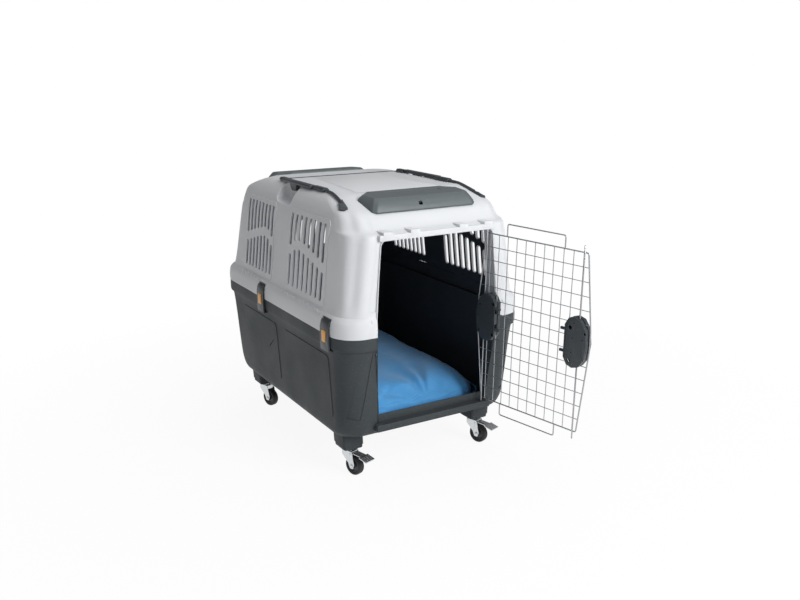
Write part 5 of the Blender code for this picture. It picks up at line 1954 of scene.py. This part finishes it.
    def build_rod(self, side: int, body: str, node: str) -> None:
        """Build one rod with chamfered ends.

        Args:
            side: 1 at the hinge, -1 at the free side.
            body: the body it rides on.
            node: the CAD node it stands for.
        """
        low, high = self.local_span(node)
        sections = ((low, self.rod_tip), (low + self.rod_chamfer, self.rod_wire),
                    (high - self.rod_chamfer, self.rod_wire), (high, self.rod_tip))
        axis = self.axis_x(side)
        rings = [
            [tuple(self.place @ Vector((axis + a, b, z))) for a, b in disc(radius, 16)]
            for z, radius in sections
        ]
        rod = piece_of(f"{node}_wire", shape_of(rings), self.finishes.wire, 50.0)
        show(rod, body, Slot.WIRE, node)

    def axis_x(self, side: int) -> float:
        """Where a latch's rods stand from the hinge axis."""
        return 0.0 if side > 0 else -2 * HINGE_X

    def local_span(self, node: str) -> Point2:
        """A CAD node's lowest and highest place along the hinge axis.

        Args:
            node: the CAD node.

        Returns:
            The lowest and the highest.
        """
        back = (ONTO_ORIGIN @ self.place).inverted()
        heights = [(back @ vertex.co).z for vertex in self.frame["nodes"][node].data.vertices]
        return (min(heights), max(heights))

    def build_spring(self, side: int, word: str) -> None:
        """Build the spring between a latch's sliders.

        Args:
            side: 1 at the hinge, -1 at the free side.
            word: the latch's name.
        """
        node = f"{word}_latch_spring"
        low, high = self.local_span(node)
        turns, steps = 7, 20
        half_x, half_y, wire = 0.0032, 0.0029, 0.0005
        path = []
        for i in range(turns * steps + 1):
            angle = 2 * math.pi * i / steps
            z = low + wire + (high - low - 2 * wire) * i / (turns * steps)
            x = self.axis_x(side) + half_x * math.cos(angle)
            path.append(tuple(self.place @ Vector((x, half_y * math.sin(angle), z))))
        coil = self.recipes.wires(f"{word}_spring_coil", [path], wire, self.finishes.wire, 6)
        show(coil, "door", Slot.WIRE, node)

    def build(self) -> None:
        """Build the whole door."""
        self.build_wires()
        self.build_latches()


@dataclass
class Caster:
    """One swivel caster with its fork, wheel and, in front, a brake pedal."""

    frame: dict
    finishes: Finishes
    recipes: Recipes
    word: str
    x: float
    y: float
    braked: bool
    heading_degrees: float = 18.0
    trail: float = 0.024
    radius: float = 0.030
    half_width: float = 0.011
    hub_radius: float = 0.0205

    def swivel(self) -> Matrix:
        """Where the fork stands."""
        turn = Matrix.Rotation(math.radians(self.heading_degrees), 4, "Z")
        return Matrix.Translation((self.x, self.y, 0.0)) @ turn

    def set_down(self, shape: Shape, matrix: Matrix) -> Shape:
        """Move a shape to its place on the caster."""
        bmesh.ops.transform(shape, matrix=matrix, verts=shape.verts)
        return shape

    def tyre(self) -> Shape:
        """The rubber tread with rounded shoulders.

        Returns:
            The tread, turned about X.
        """
        inner, half, r = self.hub_radius + 0.0005, self.half_width, self.radius
        right = ((inner, half - 0.0012), (r - 0.0050, half - 0.0004), (r - 0.0035, half - 0.0001),
                 (r - 0.0018, half - 0.0012), (r - 0.0006, half - 0.0030), (r, half - 0.0055))
        left = tuple((a, -b) for a, b in reversed(right))
        return lathe(right + ((r, 0.0),) + left, 56, True)

    def hub(self) -> Shape:
        """The hub with a dished face and a raised boss.

        Returns:
            The hub, turned about X.
        """
        half, rim = self.half_width, self.hub_radius
        right = ((0.0034, half), (0.0072, half), (0.0080, half - 0.0006), (0.0086, half - 0.0042),
                 (0.0100, half - 0.0050), (0.0160, half - 0.0050), (0.0172, half - 0.0042),
                 (0.0178, half - 0.0022), (rim - 0.0008, half - 0.0020), (rim, half - 0.0028))
        left = tuple((a, -b) for a, b in reversed(right))
        return lathe(right + left, 48, True)

    def build(self) -> None:
        """Build the caster and hand its pieces to the frame."""
        name = f"caster_{self.word}"
        swivel = self.swivel()
        wheel = swivel @ Matrix.Translation((0.0, -self.trail, self.radius))
        rubber, black, zinc = self.finishes.rubber, self.finishes.black, self.finishes.zinc
        tyre = piece_of(f"{name}_tread", self.set_down(self.tyre(), wheel), rubber, 40.0)
        show(tyre, f"{name}_wheel", Slot.RUBBER, f"{name}_tyre")
        hub = piece_of(f"{name}_wheel_centre", self.set_down(self.hub(), wheel), black, 35.0)
        show(hub, f"{name}_wheel", Slot.BLACK, f"{name}_hub")
        reach = 0.0158
        bolt = [lathe(((0.0046, s * reach), (0.0046, s * (reach + 0.0016)),
                       (0.0038, s * (reach + 0.0020))), 6) for s in (1, -1)]
        bolt += [lathe(((0.0068, s * (reach - 0.0001)), (0.0068, s * (reach + 0.0005)),
                        (0.0064, s * (reach + 0.0007))), 28) for s in (1, -1)]
        bolt.append(lathe(((0.0030, -reach), (0.0030, reach)), 20))
        axle = piece_of(f"{name}_axle_bolt", self.set_down(gathered(bolt), wheel), zinc, 30.0)
        show(axle, f"{name}_swivel", Slot.ZINC, f"{name}_axle")
        fork = refined(self.frame, f"{name}_fork", f"{name}_pressed_fork", zinc, 0.0007, 2)
        show(fork, f"{name}_swivel", Slot.ZINC, f"{name}_fork")
        plate = 0.0755
        profile = ((0.0076, plate - 0.0065), (0.0080, plate - 0.0061), (0.0080, plate - 0.0031),
                   (0.0045, plate - 0.0031), (0.0045, plate + 0.0005), (0.0150, plate + 0.0005),
                   (0.0160, plate + 0.0016), (0.0160, plate + 0.0038), (0.0152, plate + 0.0060),
                   (0.0140, plate + 0.0100), (0.0055, plate + 0.0100), (0.0055, 0.1128),
                   (0.0048, 0.1135))
        upright = Matrix.Translation((self.x, self.y, 0.0)) @ Matrix.Rotation(-math.pi / 2, 4, "Y")
        stem = piece_of(f"{name}_race_with_stem", self.set_down(lathe(profile, 40), upright), zinc)
        show(stem, "crate_body", Slot.ZINC, f"{name}_stem")
        if self.braked:
            self.build_pedal(name, swivel)

    def build_pedal(self, name: str, swivel: Matrix) -> None:
        """Dress the brake pedal and ridge its tread.

        Args:
            name: the caster's name.
            swivel: where the fork stands.
        """
        zinc = self.finishes.zinc
        node = f"{name}_brake_pedal"
        pedal = refined(self.frame, node, f"{node}_plate", zinc, 0.0005, 2)
        show(pedal, f"{name}_pedal", Slot.ZINC, node)
        spot = swivel @ Matrix.Translation((0.0, -0.018, 0.0675))
        lines = []
        for i in range(4):
            y = -0.048 - 0.0052 * i
            z = 0.0022 - 0.0074 * (abs(y) - 0.041) / 0.028 + 0.0001
            lines.append([tuple(spot @ Vector((x * 0.0165, y, z))) for x in (-1, -0.5, 0, 0.5, 1)])
        ridges = self.recipes.wires(f"{node}_ridges", lines, 0.0006, zinc, 8)
        show(ridges, f"{name}_pedal", Slot.ZINC)


@dataclass
class FloorCushion:
    """The loose cushion on the tub's floor: filled polyester with a sewn edge."""

    finishes: Finishes
    recipes: Recipes
    low: Point3
    high: Point3
    columns: int = 40
    voxel: float = 0.0075
    swell_limit: float = 0.014
    fold_height: float = 0.0095
    pressure: float = 4.0
    filling_frames: int = 20
    seam_share: float = 0.34

    def ring(self, reach: float, height: float, power: float = 0.30) -> list[Point3]:
        """One closed line round the cushion, drawn in between its corners.

        Args:
            reach: 1 at the widest line and less towards the middle.
            height: its level.
            power: how square the corners are.

        Returns:
            The line.
        """
        middle_x, middle_y = (self.low[0] + self.high[0]) / 2, (self.low[1] + self.high[1]) / 2
        half_x, half_y = (self.high[0] - self.low[0]) / 2, (self.high[1] - self.low[1]) / 2
        ring = []
        for i in range(4 * self.columns):
            angle = 2 * math.pi * i / (4 * self.columns)
            c, s = math.cos(angle), math.sin(angle)
            x = math.copysign(abs(c) ** power, c)
            y = math.copysign(abs(s) ** power, s)
            pull = 1 - 0.028 * (1 - min(abs(x), abs(y)) ** 2)
            ring.append((middle_x + x * pull * reach * half_x,
                         middle_y + y * pull * reach * half_y, height))
        return ring

    def start_shape(self) -> Shape:
        """The slack cover before it is filled.

        Returns:
            The cover.
        """
        base, height = self.low[2], self.high[2] - self.low[2]
        levels = ((0.80, 0.0), (0.93, 0.03), (0.965, 0.12), (0.985, 0.26), (0.985, 0.40),
                  (0.97, 0.53), (0.93, 0.64), (0.86, 0.73), (0.70, 0.81), (0.45, 0.87), (0.15, 0.89))
        return shape_of([self.ring(reach, base + share * height) for reach, share in levels])

    def fill(self, cover: Piece) -> None:
        """Swell the cover with cloth simulation and cap how far any point moves.

        Args:
            cover: the cover.
        """
        before = [vertex.co.copy() for vertex in cover.data.vertices]
        step = cover.modifiers.new("filling", "CLOTH")
        step.settings.use_pressure = True
        step.settings.uniform_pressure_force = self.pressure
        step.settings.effector_weights.gravity = 0.0
        step.settings.quality = 4
        step.settings.bending_stiffness = 0.4
        scene = bpy.context.scene
        for number in range(1, self.filling_frames + 1):
            scene.frame_set(number)
        settled(cover, None)
        scene.frame_set(1)
        for vertex, start in zip(cover.data.vertices, before):
            shift = vertex.co - start
            if shift.length > self.swell_limit:
                vertex.co = start + shift.normalized() * self.swell_limit

    def fold(self, cover: Piece) -> None:
        """Draw folds that fan out from the front edge, and flatten what rests on the floor.

        Args:
            cover: the filled cover.
        """
        centre = Vector((0.03, self.low[1] + 0.015))
        for vertex in cover.data.vertices:
            x, y, z = vertex.co
            top = clamped((z - self.low[2] - 0.03) / 0.03)
            reach = Vector((x, y)) - centre
            angle = math.atan2(reach.y, reach.x)
            away = reach.length
            fan = math.sin(angle * 9 + 1.4 * math.sin(angle * 4 + 0.7)) * math.exp(-away / 0.20)
            fan *= min(away / 0.03, 1.0)
            broad = math.sin(x * 21 + 1.7 * math.sin(y * 13)) * math.sin(y * 17 + 0.6)
            vertex.co.z += top * (self.fold_height * fan + 0.0018 * broad)
            vertex.co.z = min(max(vertex.co.z, self.low[2]), self.high[2] + 0.006)
            vertex.co.x = min(max(x, self.low[0]), self.high[0])
            vertex.co.y = min(max(y, self.low[1]), self.high[1])

    def build(self) -> None:
        """Build the cushion with its seam and stitches."""
        cover = piece_of("cushion_cover", self.start_shape(), self.finishes.cloth, 60.0)
        step = cover.modifiers.new("even", "REMESH")
        step.mode = "VOXEL"
        step.voxel_size = self.voxel
        settled(cover, None)
        self.fill(cover)
        self.fold(cover)
        step = cover.modifiers.new("finer", "SUBSURF")
        step.levels = 1
        step.render_levels = 1
        settled(cover, None)
        cover.data.shade_smooth()
        cover.data.materials.clear()
        cover.data.materials.append(self.finishes.cloth)
        show(cover, "crate_body", Slot.CLOTH, "floor_cushion")
        level = self.low[2] + self.seam_share * (self.high[2] - self.low[2])
        line = self.ring(0.992, level)
        seam = self.recipes.wires("cushion_piping", [line], 0.0024, self.finishes.cloth, 10, True)
        show(seam, "crate_body", Slot.CLOTH)
        stitch = lathe(((0.0002, -0.0022), (0.0006, -0.0014), (0.0006, 0.0014), (0.0002, 0.0022)), 8)
        turn = Matrix.Rotation(-math.pi / 2, 4, "Y")
        bmesh.ops.transform(stitch, matrix=turn, verts=stitch.verts)
        above = self.ring(0.986, level + 0.0042)
        stitches = self.recipes.row_along(
            "cushion_stitches", [above + above[:1]], stitch, 0.0062, self.finishes.thread,
        )
        show(stitches, "crate_body", Slot.CLOTH)


@dataclass
class Studio:
    """The pale floor, the soft lamps and the camera."""

    camera_place: Point3 = (-1.333, -2.456 + BODY_SHIFT, 1.188)
    azimuth: float = -31.006
    elevation: float = 15.211
    focal_pixels: float = 871.59
    image_width: int = 800
    sensor: float = 36.0
    aim_height: float = 0.42
    floor_half: float = 14.0

    def floor_material(self) -> Material:
        """A near-white floor that reads white to the camera and still takes the shadow.

        Returns:
            The material.
        """
        made = bpy.data.materials.new("studio_floor")
        tree = cleared(made)
        matt = add_node(tree, "ShaderNodeBsdfDiffuse", None, {"Color": linear("#f4f4f4")})
        white = add_node(tree, "ShaderNodeEmission", None, {"Strength": 1.0})
        rays = add_node(tree, "ShaderNodeLightPath")
        seen = add_node(
            tree, "ShaderNodeMath",
            {0: rays.outputs["Is Camera Ray"], 1: rays.outputs["Is Glossy Ray"]}, operation="MAXIMUM",
        )
        clear = add_node(
            tree, "ShaderNodeMath",
            {0: seen.outputs[0], 1: rays.outputs["Is Transmission Ray"]}, operation="MAXIMUM",
        )
        spot = add_node(tree, "ShaderNodeTexCoord").outputs["Object"]
        away = add_node(tree, "ShaderNodeVectorMath", {0: spot}, operation="LENGTH")
        glow = add_node(
            tree, "ShaderNodeMapRange", {"Value": away.outputs["Value"]},
            {"From Min": 0.55, "From Max": 1.8, "To Min": 0.92, "To Max": 1.0},
        )
        share = add_node(
            tree, "ShaderNodeMath", {0: clear.outputs[0], 1: glow.outputs[0]}, operation="MULTIPLY",
        )
        links = {0: share.outputs[0], 1: matt.outputs[0], 2: white.outputs[0]}
        mixed = add_node(tree, "ShaderNodeMixShader", links)
        add_node(tree, "ShaderNodeOutputMaterial", {"Surface": mixed.outputs[0]})
        return made

    def build_floor(self) -> None:
        """Lay the floor."""
        shape = bmesh.new()
        bmesh.ops.create_grid(shape, x_segments=8, y_segments=8, size=self.floor_half)
        piece_of("studio_floor", shape, self.floor_material())

    def build_world(self) -> None:
        """Light the world evenly and show it white to the camera."""
        world = bpy.data.worlds.new("studio_world")
        bpy.context.scene.world = world
        tree = cleared(world)
        white = linear("#ffffff")
        soft = add_node(tree, "ShaderNodeBackground", None, {"Color": white, "Strength": 0.24})
        plain = add_node(tree, "ShaderNodeBackground", None, {"Color": white})
        rays = add_node(tree, "ShaderNodeLightPath")
        seen = add_node(
            tree, "ShaderNodeMath",
            {0: rays.outputs["Is Camera Ray"], 1: rays.outputs["Is Transmission Ray"]},
            operation="MAXIMUM",
        )
        links = {0: seen.outputs[0], 1: soft.outputs[0], 2: plain.outputs[0]}
        mixed = add_node(tree, "ShaderNodeMixShader", links)
        add_node(tree, "ShaderNodeOutputWorld", {"Surface": mixed.outputs[0]})

    def add_lamp(self, name: str, place: Point3, size: float, power: float) -> None:
        """Hang one soft square lamp that faces the crate.

        Args:
            name: the lamp's name.
            place: where it hangs.
            size: the length of its side.
            power: its watts.
        """
        data = bpy.data.lights.new(name, "AREA")
        data.size = size
        data.energy = power
        lamp = bpy.data.objects.new(name, data)
        bpy.context.scene.collection.objects.link(lamp)
        lamp.location = place
        aim = Vector((0.0, BODY_SHIFT, self.aim_height)) - Vector(place)
        lamp.rotation_euler = aim.to_track_quat("-Z", "Y").to_euler()

    def build_camera(self) -> None:
        """Set the camera at the photograph's place."""
        data = bpy.data.cameras.new("photo_camera")
        data.sensor_width = self.sensor
        data.lens = self.focal_pixels * self.sensor / self.image_width
        camera = bpy.data.objects.new("photo_camera", data)
        bpy.context.scene.collection.objects.link(camera)
        camera.location = self.camera_place
        camera.rotation_euler = (
            math.radians(90.0 - self.elevation), 0.0, math.radians(self.azimuth),
        )
        bpy.context.scene.camera = camera

    def build(self) -> None:
        """Build the studio."""
        self.build_floor()
        self.build_world()
        self.add_lamp("front_softbox", (0.9, BODY_SHIFT - 3.6, 2.5), 2.2, 150.0)
        self.add_lamp("side_softbox", (-3.6, BODY_SHIFT - 0.6, 2.2), 2.4, 9.0)
        self.add_lamp("top_softbox", (0.2, BODY_SHIFT + 0.4, 3.4), 2.6, 24.0)
        self.build_camera()
        bpy.context.scene.view_settings.view_transform = "Standard"


def main() -> None:
    """Build every sub-assembly in order."""
    logging.basicConfig(level=logging.INFO, format="%(name)s: %(message)s")
    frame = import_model()
    Studio().build()
    finishes = Finishes.build()
    recipes = Recipes()
    shell = TopShell(finishes)
    shell.build()
    shell.build_trim(recipes)
    tub = BaseTub(finishes)
    tub.build()
    tub.build_trim(recipes)
    for end in End:
        RoofLid(finishes, end).build()
    RoofHardware(frame, finishes, recipes).build()
    SideClips(frame, finishes).build()
    Door(frame, finishes, recipes).build()
    for end, y in (("front", -CASTER_Y), ("rear", CASTER_Y)):
        for side, x in (("left", -CASTER_X), ("right", CASTER_X)):
            Caster(frame, finishes, recipes, f"{end}_{side}", x, y, end == "front").build()
    back = ONTO_ORIGIN.inverted()
    low, high = (tuple(back @ Vector(corner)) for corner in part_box("floor_cushion"))
    FloorCushion(finishes, recipes, low, high).build()


if __name__ == "__main__":
    main()
